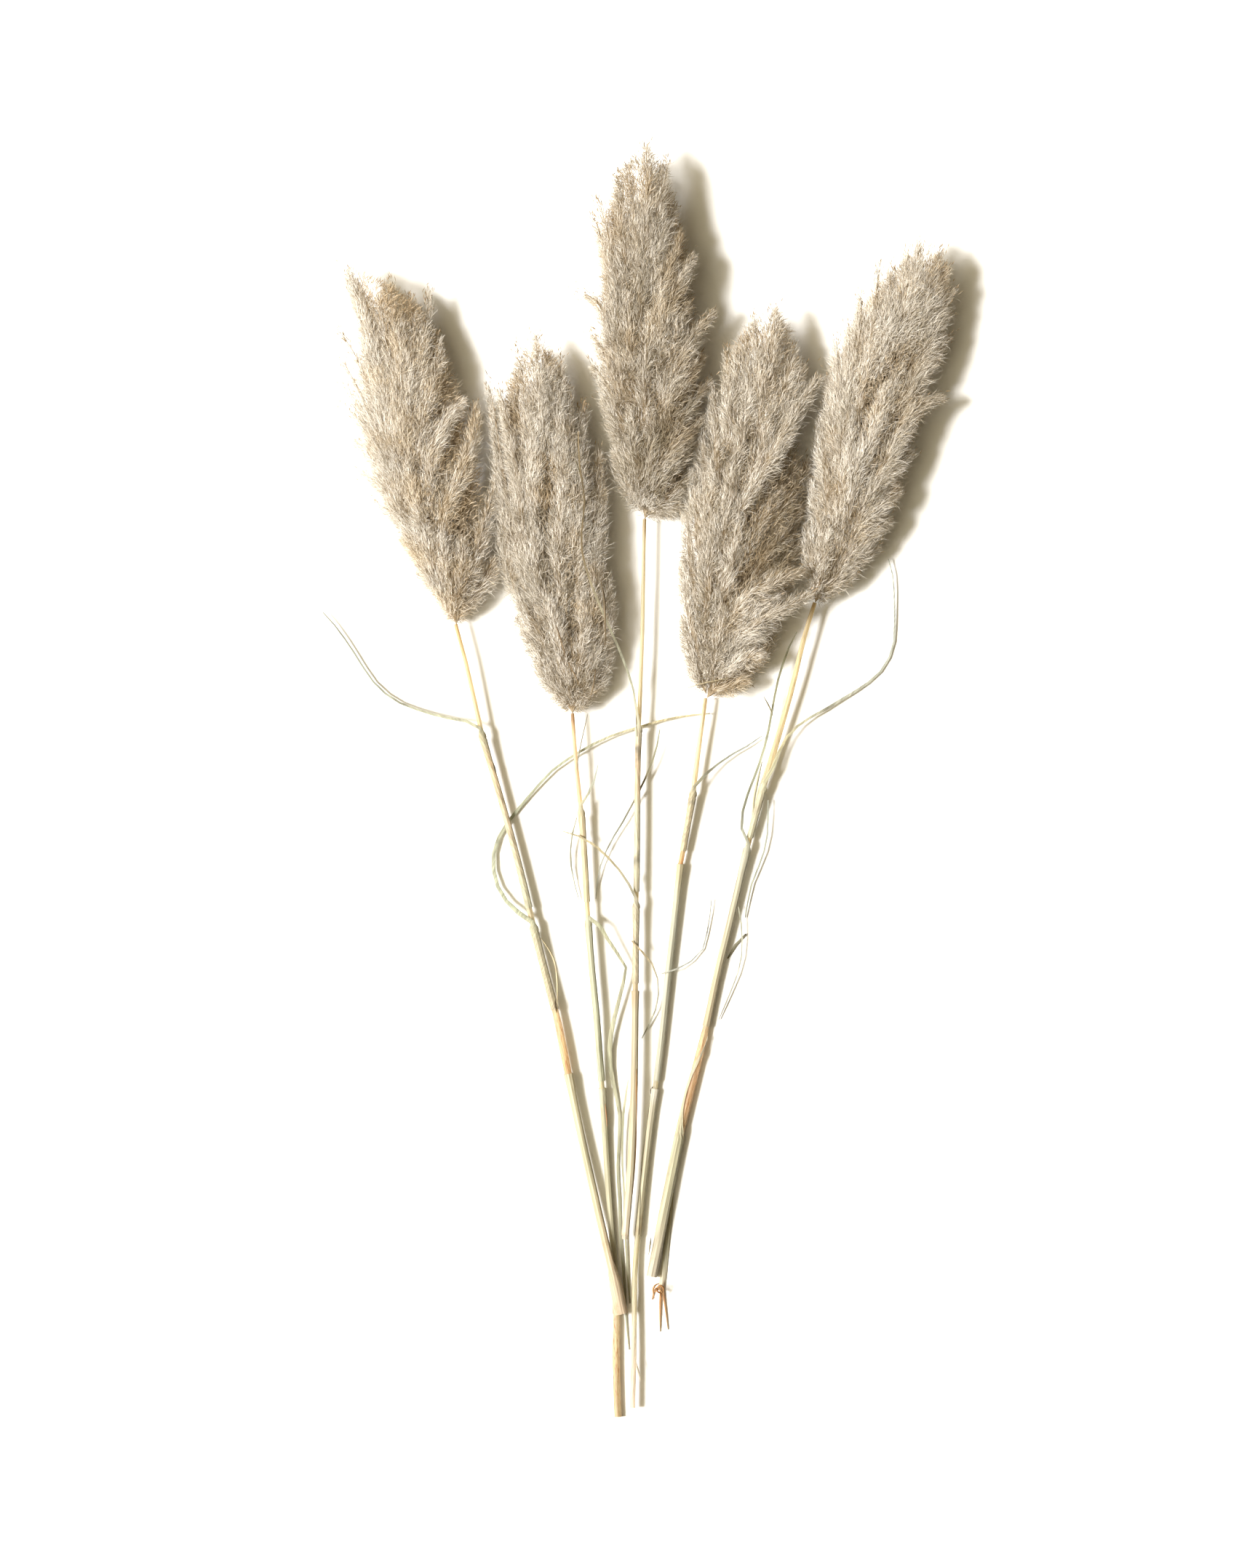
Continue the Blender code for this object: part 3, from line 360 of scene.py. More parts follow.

# Partings between branches, where the hair is thinner and browner and its tone is darkened as painted shade: the middle
# on the plan, the distance across and along, the way it runs in degrees and how strong it is (0 to 1). Below 0 the hair
# is painted paler, a painted highlight.
SHADED_PARTINGS = {
    1: [
        (558, 462, 9, 28, 111, 0.75), (572, 508, 7, 20, 105, 0.6), (571, 560, 6, 24, 100, 0.5), (586, 645, 6, 26, 95, 0.45), (606, 790, 9, 30, 112, 0.4), (640, 720, 9, 34, 105, 0.35),
        (668, 700, 8, 30, 100, 0.4), (520, 520, 8, 24, 115, 0.3), (596, 640, 7, 26, 100, 0.3),
    ],
    2: [
        (752, 690, 7, 60, 92, 0.45), (790, 720, 6, 50, 88, 0.3), (786, 880, 10, 46, 96, 0.6), (756, 560, 7, 26, 92, 0.35),
        (712, 740, 6, 30, 102, 0.4), (747, 616, 7, 18, 96, 0.7), (716, 636, 6, 14, 100, 0.5), (776, 524, 9, 14, 70, 0.5), (790, 626, 7, 20, 76, 0.6), (808, 640, 7, 36, 85, 0.5), (800, 940, 9, 24, 100, 0.5),
    ],
    3: [
        (912, 606, 13, 28, 72, 1.4), (884, 640, 8, 34, 95, 1.0), (925, 585, 9, 24, 62, 0.8), (868, 530, 6, 22, 112, 0.7),
        (902, 505, 7, 30, 84, 0.8), (884, 500, 6, 26, 96, 0.5), (930, 560, 9, 28, 62, 0.7), (916, 430, 7, 26, 74, 0.6),
        (902, 672, 7, 18, 60, 0.8), (886, 694, 30, 18, 90, -0.65), (880, 400, 6, 30, 92, 0.45), (940, 620, 10, 20, 50, 0.6), (860, 470, 6, 22, 106, 0.4),
    ],
    4: [
        (1062, 770, 26, 40, 60, 0.9), (1040, 690, 10, 46, 58, 0.7), (995, 668, 6, 14, 75, 0.8), (999, 832, 6, 16, 75, 0.9),
        (998, 884, 7, 18, 80, 0.9), (1030, 740, 8, 34, 58, 0.6), (1090, 690, 16, 34, 60, 0.7), (1082, 850, 12, 26, 20, 0.7),
        (1020, 890, 6, 30, 30, 0.6), (1022, 640, 7, 34, 66, 0.4), (1066, 600, 8, 26, 62, 0.4),
    ],
    5: [
        (1190, 700, 7, 30, 60, 0.5), (1200, 640, 7, 34, 62, 0.5), (1232, 545, 8, 30, 64, 0.55), (1216, 600, 7, 30, 62, 0.5),
        (1168, 560, 6, 26, 76, 0.4), (1256, 470, 8, 28, 66, 0.5), (1160, 730, 7, 26, 66, 0.45), (1140, 790, 6, 20, 70, 0.5),
        (1230, 430, 6, 24, 72, 0.4),
    ],
}


def shown_tails(number, env):
    """The branches in the table, laid on the upper skin of the CAD plume."""
    tails = []
    for lift, radius, wisp, way in TAILS[number]:
        points, rows = [], len(way)
        for i, (x, y) in enumerate(way):
            here = world(x, y)
            inside = min(max(here[1], env.ys[0]), env.ys[-1])
            skin = env.top(here[0], inside)
            _, _, cz, _ = env.at(inside)
            end = max(0.0, (i / (rows - 1) - 0.55) / 0.45)
            deep = radius * PLAN * (0.75 + 0.5 * (1 - i / (rows - 1)))
            z = max(skin - deep, min(cz, skin)) + lift * MM * min(1.0, 0.25 + 1.2 * i / (rows - 1))
            here[2] = max(z + end**2 * 0.12 * (cz - z), 0.006)
            points.append(here)
        points = np.array(points)
        last = unit(points[-1] - points[-2])
        points[-1] -= last * 0.005
        tails.append((points, radius * PLAN, 1.0, wisp))
    return tails


def filler_tails(env, rng, count):
    """Branches that fill the heart and the underside of the plume."""
    tails = []
    golden = math.pi * (3 - math.sqrt(5))
    for i in range(count):
        s_tip = min(0.93, 0.14 + 0.8 * ((i + 0.5) / count) ** 0.9 + rng.normal(0, 0.015))
        phi = -math.pi / 2 + 1.25 * math.pi * ((i * golden / (2 * math.pi)) % 1.0 - 0.5) * 1.0
        reach = rng.uniform(0.24, 0.42)
        s_base = max(0.0, s_tip - reach)
        f = np.array([0.0, 0.33, 0.66, 1.0])
        turn = -math.pi / 2 + (phi + math.pi / 2) * (0.35 + 0.65 * f)
        q = np.array([0.2, 0.5, 0.66, 0.7])
        points = env.point(s_base + (s_tip - s_base) * f, turn, q)
        _, wide, _, _ = env.at(points[-1, 1])
        radius = min(rng.uniform(0.0085, 0.0110), 0.35 * wide + 0.002)
        tails.append((points, radius, 0.6, 0.0))
    return tails


def swell(points, rng, size, waves=9):
    """A smooth random value for each point, about -1 to 1, that changes over the given size."""
    way = unit(rng.normal(0, 1, (waves, 3))) * (2 * math.pi / (size * rng.uniform(0.7, 1.5, (waves, 1))))
    return np.sin(points @ way.T + rng.uniform(0, 2 * math.pi, waves)).sum(-1) / math.sqrt(waves / 2)


def blades(root, ways, sizes, widths, faces):
    """Thin curved hairs: ways holds the direction of each part, and the shape narrows to a point
    at both ends. Returns points as (hairs, rows, 3) and the faces of one hair."""
    parts = len(ways)
    line = [root]
    for way in ways:
        line.append(line[-1] + way * (sizes / parts)[..., None])
    rows = [line[0]]
    for i in range(1, parts):
        side = unit(np.cross(ways[i - 1] + ways[i], faces)) * (widths * (1.0 - 0.25 * (i - 1)))[..., None]
        rows += [line[i] - side, line[i] + side]
    rows.append(line[-1])
    shape = [(0, 2, 1)]
    for i in range(1, parts - 1):
        a = 2 * i - 1
        shape += [(a, a + 1, a + 2), (a + 1, a + 3, a + 2)]
    shape.append((2 * parts - 3, 2 * parts - 2, 2 * parts - 1))
    return np.stack(rows, axis=-2), np.array(shape)


def sample_run(run, t):
    at = np.linspace(0, 1, len(run))
    return np.stack([np.interp(t, at, run[:, i]) for i in range(3)], -1)


def plume(number, tails, env, rng, finish, look):
    """One plume: a mesh of tapering branch cores and curved hairs set along them. The map holds
    each hair's tone across it, and up it four bands from cool to warm, root to tip in each."""
    verts, tris, uvs = [], [], []
    base = 0

    def lay(points, shape, tone, warm, levels):
        nonlocal base
        z = np.maximum(points[..., 2], 0.0004)
        points[..., 2] = np.where(z > HIGH, HIGH + 0.008 * np.tanh((z - HIGH) / 0.008), z)
        n, rows = points.shape[:2]
        tris.append((base + rows * np.arange(n)[:, None, None] + shape[None]).reshape(-1, 3))
        verts.append(points.reshape(-1, 3))
        uv = np.empty((n, rows, 2))
        uv[..., 0] = tone[:, None] + np.array([0] + [-0.006, 0.006] * ((rows - 2) // 2) + [0])
        uv[..., 1] = (np.clip(np.floor(warm * 4), 0, 3)[:, None] + 0.06 + 0.88 * levels) / 4
        uvs.append(uv.reshape(-1, 2))
        base += n * rows

    # Cores of the branches, a dark tan: partly the dense spikelets at their heart, partly painted shade.
    runs = []
    for points, radius, weight, wisp in tails:
        run, length = smooth_run(points, 9)
        runs.append((run, length, radius, weight, wisp, rng.normal(0, 1), rng.normal(0, 1)))
        t = np.linspace(0, 1, 9)
        core = radius * 0.42 * np.sin(np.pi * (0.05 + 0.93 * t)) ** 0.8 * (1 - (0.3 + wisp * 0.6) * np.clip(t * 1.6 - 0.5, 0, 1))
        tangent = unit(np.gradient(run, axis=0))
        side = unit(np.cross(tangent, [0, 0, 1.0]))
        up = np.cross(side, tangent)
        angle = np.arange(6) * math.pi / 3
        ring = run[:, None] + core[:, None, None] * (
            side[:, None] * np.cos(angle)[None, :, None] + up[:, None] * np.sin(angle)[None, :, None]
        )
        ring = ring.reshape(-1, 3)
        ring = np.vstack([ring, run[:1] - tangent[:1] * 0.002, run[-1:] + tangent[-1:] * 0.003])
        i, j = np.meshgrid(np.arange(8), np.arange(6), indexing="ij")
        a = base + i * 6 + j
        b = base + i * 6 + (j + 1) % 6
        quads = np.stack([a, b, b + 6, a + 6], -1).reshape(-1, 4)
        tris += [quads[:, [0, 1, 2]], quads[:, [0, 2, 3]]]
        k = np.arange(6)
        tris.append(np.stack([base + (k + 1) % 6, base + k, np.full(6, base + 54)], -1))
        tris.append(np.stack([base + 48 + k, base + 48 + (k + 1) % 6, np.full(6, base + 55)], -1))
        ring[:, 2] = np.maximum(ring[:, 2], 0.0006)
        verts.append(ring)
        uv = np.empty((56, 2))
        uv[:, 0] = 0.25 + 0.2 * rng.random(56)
        uv[:, 1] = (2.08 + 0.25 * rng.random(56)) / 4
        uvs.append(uv)
        base += 56

    share = np.array([length * radius * weight for _, length, radius, weight, *_ in runs])
    share /= share.sum()
    airy = share * np.array([0.3 + 2 * wisp for *_, wisp, _, _ in runs])
    airy /= airy.sum()
    state = rng.integers(1 << 30)

    def field(points, salt, size):
        return swell(points, np.random.default_rng(state + salt), size)

    def hairs(total, low, high, angle, sizes, spread, top_only=False, share=share):
        """Roots, directions and looks of single hairs set round every branch, combed the same way
        where they lie close together."""
        got = []
        for (run, length, radius, weight, wisp, own_tone, own_warm), part in zip(runs, share):
            if top_only and weight < 0.9:
                continue
            n = int(total * (3.0 if top_only else 2.3) * part)
            t = rng.random(n) ** 0.88
            fat = np.sin(np.pi * (0.14 + 0.72 * t)) ** 0.75 * (1 - 0.5 * wisp * t**2)
            place = sample_run(run, t)
            tangent = unit(sample_run(unit(np.gradient(run, axis=0)), t))
            cx, _, cz, _ = env.at(place[:, 1])
            away = place - np.stack([cx, place[:, 1], cz], -1)
            away -= tangent * (away * tangent).sum(-1, keepdims=True)
            away = unit(unit(away + 1e-5) + np.array([0, 0, 0.5 if weight > 0.9 else 0.0]))
            away = unit(away - tangent * (away * tangent).sum(-1, keepdims=True))
            across = np.cross(tangent, away)
            theta = rng.normal(0, 1.15, n)
            radial = away * np.cos(theta)[:, None] + across * np.sin(theta)[:, None]
            root = place + radial * (radius * fat * rng.uniform(low, high, n))[:, None]
            comb = field(root, 1, 0.022)
            alpha = np.radians(angle[0] + 9 * comb + rng.normal(0, angle[1], n)) * (1.15 - 0.55 * t)
            way = unit(tangent * np.cos(alpha)[:, None] + radial * np.sin(alpha)[:, None])
            swirl = np.cross(tangent, radial) * (0.25 * field(root, 2, 0.03))[:, None]
            way = unit(way + swirl + rng.normal(0, spread, way.shape))
            out = env.depth(root)
            upper = root[:, 2] > cz - 0.002
            chance = np.where(
                upper,
                np.where(out < 0.3, 0.3, np.where(out < 0.55, 0.75, 1.0)),
                np.where(out < 0.5, 0.05, np.where(out < 0.68, 0.3, 0.8)),
            )
            chance = np.where(place[:, 1] < env.y0 + 0.03, 1.0, chance)
            chance *= np.where(radial[:, 2] < -0.35, 0.45, 1.0)
            chance *= 1 - min(0.9, wisp) * np.clip((t - 0.4) / 0.6, 0, 1) ** 1.5
            keep = rng.random(n) < chance
            # Hair on the outer, upper side of each branch is painted paler and cooler, and hair on its inner side
            # darker and warmer. Hair deeper in the plume is also painted darker and warmer. All of this is painted
            # shade.
            painted_branch_shading = np.cos(theta)
            # Hair towards each flank is darkened, and made warmer on the right: painted shade.
            cx, wide, _, _ = env.at(root[:, 1])
            side = np.clip((root[:, 0] - cx) / wide, -1, 1)
            shade = look["left"] * np.clip(-side, 0, 1) + look["right"] * np.clip(side, 0, 1)
            # Partings thin the hair and darken it: painted shade.
            shade_in_parting = parting_shade_at(root)
            chance *= 1 - 0.6 * shade_in_parting
            tone = 0.16 * painted_branch_shading - shade - 0.55 * shade_in_parting + 0.3 * (out.clip(0, 1.1) - 0.85) + 0.06 * own_tone + 0.05 * field(root, 3, 0.02)
            warm = 0.5 + 0.2 * own_warm + 0.16 * side + 0.22 * shade_in_parting - 0.25 * painted_branch_shading + 0.22 * field(root, 4, 0.035) - 0.35 * (out.clip(0, 1.1) - 0.75)
            size = (sizes[0] + (sizes[1] - sizes[0]) * fat) * (1 - 0.4 * t**3)
            got.append([v[keep] for v in (root, way, radial, tangent, size, tone, warm)])
        got = [np.concatenate(v) for v in zip(*got)]
        if len(got[0]) > total:
            pick = rng.permutation(len(got[0]))[:total]
            got = [v[pick] for v in got]
        else:
            print("  short of hairs", len(got[0]), "of", total)
        root, way, radial, tangent, size, tone, warm = got
        warm = warm + look["warm"] + rng.normal(0, 0.12, len(root))
        return root, way, radial, tangent, size * rng.uniform(0.65, 1.3, len(root)), tone, warm

    def parting_shade_at(points):
        """How far each point lies in a parting between branches, 0 to 1: there the hair is thinned, browned and
        darkened as painted shade; below 0 it is painted paler.
        """
        deep = np.zeros(len(points))
        for x, y, across, along, turn, depth in SHADED_PARTINGS[number]:
            middle = world(x, y)
            c, n = math.cos(math.radians(turn)), math.sin(math.radians(turn))
            dx, dy = points[:, 0] - middle[0], points[:, 1] - middle[1]
            u, v = (dx * c + dy * n) / (along * PLAN), (dy * c - dx * n) / (across * PLAN)
            here = depth * np.exp(-(u**2 + v**2))
            deep = np.where(np.abs(here) > np.abs(deep), here, deep)
        return deep

    def bent(way, radial, tangent, curl, noise, steps):
        twist = (tangent * 0.9 - radial * 0.6) * curl[:, None] + rng.normal(0, noise, way.shape)
        return [unit(way + twist * k) for k in steps]

    # Loose down that fills the spaces between the branches.
    s_at = rng.random(int(CLOUD * 1.3)) ** 0.9
    phi = rng.uniform(-0.15, math.pi + 0.15, len(s_at))
    root = env.point(s_at, phi, rng.uniform(0.5, 0.83, len(s_at)))
    _, wide, _, _ = env.at(root[:, 1])
    keep = (rng.random(len(root)) < np.clip(wide / 0.03 - 0.2, 0.05, 1))
    root, s_at = root[keep][:CLOUD], s_at[keep][:CLOUD]
    cx, _, cz, _ = env.at(root[:, 1])
    radial = unit(root - np.stack([cx, root[:, 1], cz], -1))
    tangent = unit(np.array([0, 1.0, 0]) + radial * 0.35)
    way = unit(tangent + radial * 0.3 + rng.normal(0, 0.45, root.shape))
    curl = rng.normal(0, 0.6, len(root))
    ways = bent(way, radial, tangent, curl, 0.2, (0.0, 1.0))
    points, shape = blades(root, ways, rng.uniform(0.007, 0.012, len(root)), rng.uniform(0.0002, 0.0003, len(root)), unit(radial + rng.normal(0, 0.5, root.shape)))
    # The down in the partings is painted darker and warmer: painted shade.
    shade_in_parting = parting_shade_at(root)
    tone = (look["tone"] - 0.08 - 0.4 * shade_in_parting + 0.06 * field(root, 3, 0.02) + rng.normal(0, 0.08, len(root))).clip(0.03, 0.97)
    warm = 0.5 + 0.15 * shade_in_parting + look["warm"] + 0.22 * field(root, 4, 0.035) + rng.normal(0, 0.12, len(root))
    lay(points, shape, tone, warm, np.array([0.04, 0.4, 0.4, 0.75]))

    # Short dense hair.
    root, way, radial, tangent, length, tone, warm = hairs(FLUFF, 0.1, 0.66, (54, 17), (0.0070, 0.011), 0.34)
    curl = 0.3 + 0.2 * field(root, 5, 0.02) + rng.normal(0, 0.3, len(root))
    ways = bent(way, radial, tangent, curl, 0.12, (0.0, 1.0))
    face = unit(radial + rng.normal(0, 0.5, way.shape))
    points, shape = blades(root, ways, length, rng.uniform(0.00016, 0.00026, len(root)), face)
    tone = (look["tone"] - 0.10 + tone + rng.normal(0, 0.11, len(root))).clip(0.03, 0.97)
    lay(points, shape, tone, warm, np.array([0.04, 0.5, 0.5, 0.96]))

    # Longer curved strands combed over it.
    root, way, radial, tangent, length, tone, warm = hairs(STRANDS, 0.3, 0.76, (60, 15), (0.0085, 0.0130), 0.26, top_only=True)
    curl = 0.62 + 0.4 * field(root, 5, 0.016) + rng.normal(0, 0.25, len(root))
    ways = bent(way, radial, tangent, curl, 0.1, (0.0, 1.5))
    face = unit(radial + rng.normal(0, 0.45, way.shape))
    points, shape = blades(root, ways, length, rng.uniform(0.00012, 0.00019, len(root)), face)
    tone = (look["tone"] + 0.36 + tone + rng.normal(0, 0.18, len(root))).clip(0.03, 0.99)
    lay(points, shape, tone, warm - 0.3, np.array([0.25, 0.72, 0.72, 0.98]))
    strands = len(root)

    # Stray hairs that leave the outline.
    root, way, radial, tangent, length, tone, warm = hairs(STRAYS, 0.5, 0.92, (48, 18), (0.010, 0.016), 0.28, share=airy)
    curl = rng.normal(0.2, 0.35, len(root))
    ways = bent(way, radial, tangent, curl, 0.12, (0.0, 1.0, 2.0))
    face = unit(rng.normal(0, 0.4, way.shape) + np.array([0, 0, 1.0]))
    points, shape = blades(root, ways, length, rng.uniform(0.00008, 0.00014, len(root)), face)
    tone = (look["tone"] + 0.28 + rng.normal(0, 0.15, len(root))).clip(0.03, 0.97)
    lay(points, shape, tone, warm, np.array([0.3, 0.6, 0.6, 0.85, 0.85, 0.98]))

    # Spikelets among the wisps at the branch ends.
    seeds = []
    for run, length, radius, weight, wisp, *_ in runs:
        n = int(10 + 75 * wisp) if weight > 0.9 else 4
        t = 1.05 - 0.6 * rng.random(n) ** 1.3
        tangents = unit(np.gradient(run, axis=0))
        tangent = unit(sample_run(tangents, np.minimum(t, 1)))
        place = sample_run(run, np.minimum(t, 1)) + tangent * (np.maximum(t - 1, 0) * length)[:, None]
        place = place + unit(rng.normal(0, 1, (n, 3))) * (radius * rng.uniform(0.1, 0.95, n))[:, None]
        way = unit(tangent + rng.normal(0, 0.28, (n, 3)))
        seeds.append((place, way))
    place, way = (np.vstack(v) for v in zip(*seeds))
    face = unit(rng.normal(0, 0.5, way.shape) + np.array([0, 0, 1.0]))
    second = unit(way + rng.normal(0, 0.15, way.shape))
    points, shape = blades(place, [way, second], rng.uniform(0.004, 0.0075, len(place)), rng.uniform(0.0003, 0.00048, len(place)), face)
    lay(points, shape, rng.uniform(0.03, 0.3, len(place)), rng.uniform(0.4, 1.0, len(place)), np.array([0.02, 0.12, 0.12, 0.25]))

    verts, uvs = np.vstack(verts), np.vstack(uvs)
    made = mesh_piece(f"plume_fluff_{number}", verts, tris, uvs, finish, smooth=False)
    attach(made, "root")
    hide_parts(f"plume_{number}")
    print("plume", number, "tails", len(tails), "strands", strands, "triangles", sum(len(f) for f in tris), "low", verts.min(0), "high", verts.max(0))
    return made


# ---------------------------------------------------------------- materials

COOL = [(0.37, 0.32, 0.23), (0.66, 0.615, 0.54), (0.99, 0.98, 0.955)]  # dark, middle and pale hair
TAN = [(0.36, 0.28, 0.18), (0.67, 0.57, 0.42), (0.98, 0.92, 0.80)]
ROOT = [(0.56, 0.46, 0.34), (0.86, 0.81, 0.74)]  # over those colours at the root and part way up
THROUGH = 0.25

def node(tree, kind, **values):
    made = tree.nodes.new(kind)
    for key, value in values.items():
        if key.startswith("in_"):
            made.inputs[key[3:].replace("_", " ")].default_value = value
        else:
            setattr(made, key, value)
    return made


def ramp(tree, stops):
    made = tree.nodes.new("ShaderNodeValToRGB")
    steps = made.color_ramp.elements
    steps[0].position, steps[0].color = stops[0][0], (*stops[0][1], 1)
    steps[1].position, steps[1].color = stops[-1][0], (*stops[-1][1], 1)
    for place, colour in stops[1:-1]:
        step = steps.new(place)
        step.color = (*colour, 1)
    return made


def lin(r, g, b):
    """Screen colour 0-255 to scene colour."""
    return tuple(c / 12.92 if c <= 0.04045 else ((c + 0.055) / 1.055) ** 2.4 for c in (r / 255, g / 255, b / 255))


def hair_finish(name):
    """Dry silky hair. Its tone runs across the map, and up the map are four bands from cool to
    warm, each running from the root of a hair to its tip."""
    made = bpy.data.materials.new(name)
    made.use_nodes = True
    tree = made.node_tree
    tree.nodes.clear()
    link = tree.links.new
    out = node(tree, "ShaderNodeOutputMaterial")
    uv = node(tree, "ShaderNodeUVMap", uv_map="OFBake")
    split = node(tree, "ShaderNodeSeparateXYZ")
    link(uv.outputs[0], split.inputs[0])
    four = node(tree, "ShaderNodeMath", operation="MULTIPLY")
    four.inputs[1].default_value = 4.0
    link(split.outputs["Y"], four.inputs[0])
    level = node(tree, "ShaderNodeMath", operation="FRACT")
    link(four.outputs[0], level.inputs[0])
    band = node(tree, "ShaderNodeMath", operation="FLOOR")
    link(four.outputs[0], band.inputs[0])
    warmth = node(tree, "ShaderNodeMath", operation="DIVIDE")
    warmth.inputs[1].default_value = 3.0
    link(band.outputs[0], warmth.inputs[0])
    cool = ramp(tree, [(0.0, COOL[0]), (0.5, COOL[1]), (1.0, COOL[2])])
    link(split.outputs["X"], cool.inputs["Fac"])
    tan = ramp(tree, [(0.0, TAN[0]), (0.5, TAN[1]), (1.0, TAN[2])])
    link(split.outputs["X"], tan.inputs["Fac"])
    tone = node(tree, "ShaderNodeMix", data_type="RGBA")
    link(warmth.outputs[0], tone.inputs["Factor"])
    link(cool.outputs["Color"], tone.inputs["A"])
    link(tan.outputs["Color"], tone.inputs["B"])
    depth = ramp(tree, [(0.0, ROOT[0]), (0.4, ROOT[1]), (1.0, (1.0, 1.0, 1.0))])
    link(level.outputs[0], depth.inputs["Fac"])
    both = node(tree, "ShaderNodeMix", data_type="RGBA", blend_type="MULTIPLY")
    both.inputs["Factor"].default_value = 1.0
    link(tone.outputs["Result"], both.inputs["A"])
    link(depth.outputs["Color"], both.inputs["B"])
    grain = node(tree, "ShaderNodeTexNoise", in_Scale=1.0, in_Detail=2.0)
    stretch = node(tree, "ShaderNodeMapping")
    stretch.inputs["Scale"].default_value = (260.0, 36.0, 1.0)
    link(uv.outputs[0], stretch.inputs["Vector"])
    link(stretch.outputs[0], grain.inputs["Vector"])
    streak = ramp(tree, [(0.3, (0.86, 0.86, 0.86)), (0.7, (1.06, 1.06, 1.06))])
    link(grain.outputs["Fac"], streak.inputs["Fac"])
    toned = node(tree, "ShaderNodeMix", data_type="RGBA", blend_type="MULTIPLY")
    toned.inputs["Factor"].default_value = 1.0
    link(both.outputs["Result"], toned.inputs["A"])
    link(streak.outputs["Color"], toned.inputs["B"])
    rough = node(tree, "ShaderNodeMapRange")
    rough.inputs["To Min"].default_value = 0.38
    rough.inputs["To Max"].default_value = 0.6
    link(grain.outputs["Fac"], rough.inputs["Value"])
    bump = node(tree, "ShaderNodeBump", in_Strength=0.15, in_Distance=0.0002)
    link(grain.outputs["Fac"], bump.inputs["Height"])
    shader = node(tree, "ShaderNodeBsdfPrincipled")
    shader.inputs["Specular IOR Level"].default_value = 0.35
    link(toned.outputs["Result"], shader.inputs["Base Color"])
    link(rough.outputs["Result"], shader.inputs["Roughness"])
    link(bump.outputs["Normal"], shader.inputs["Normal"])
    through = node(tree, "ShaderNodeBsdfTranslucent")
    link(toned.outputs["Result"], through.inputs["Color"])
    mix = node(tree, "ShaderNodeMixShader", in_Fac=THROUGH)
    link(shader.outputs[0], mix.inputs[1])
    link(through.outputs[0], mix.inputs[2])
    link(mix.outputs[0], out.inputs["Surface"])
    return made


def lean(node_name):
    """The turn about Z that brings a node's long way onto Y, from its upper and lower ends."""
    mesh = NODES[node_name].data
    co = np.empty(len(mesh.vertices) * 3, np.float32)
    mesh.vertices.foreach_get("co", co)
    co = co.reshape(-1, 3)
    low, high = np.quantile(co[:, 1], [0.1, 0.9])
    way = co[co[:, 1] > high].mean(0) - co[co[:, 1] < low].mean(0)
    return math.atan2(way[0], way[1])


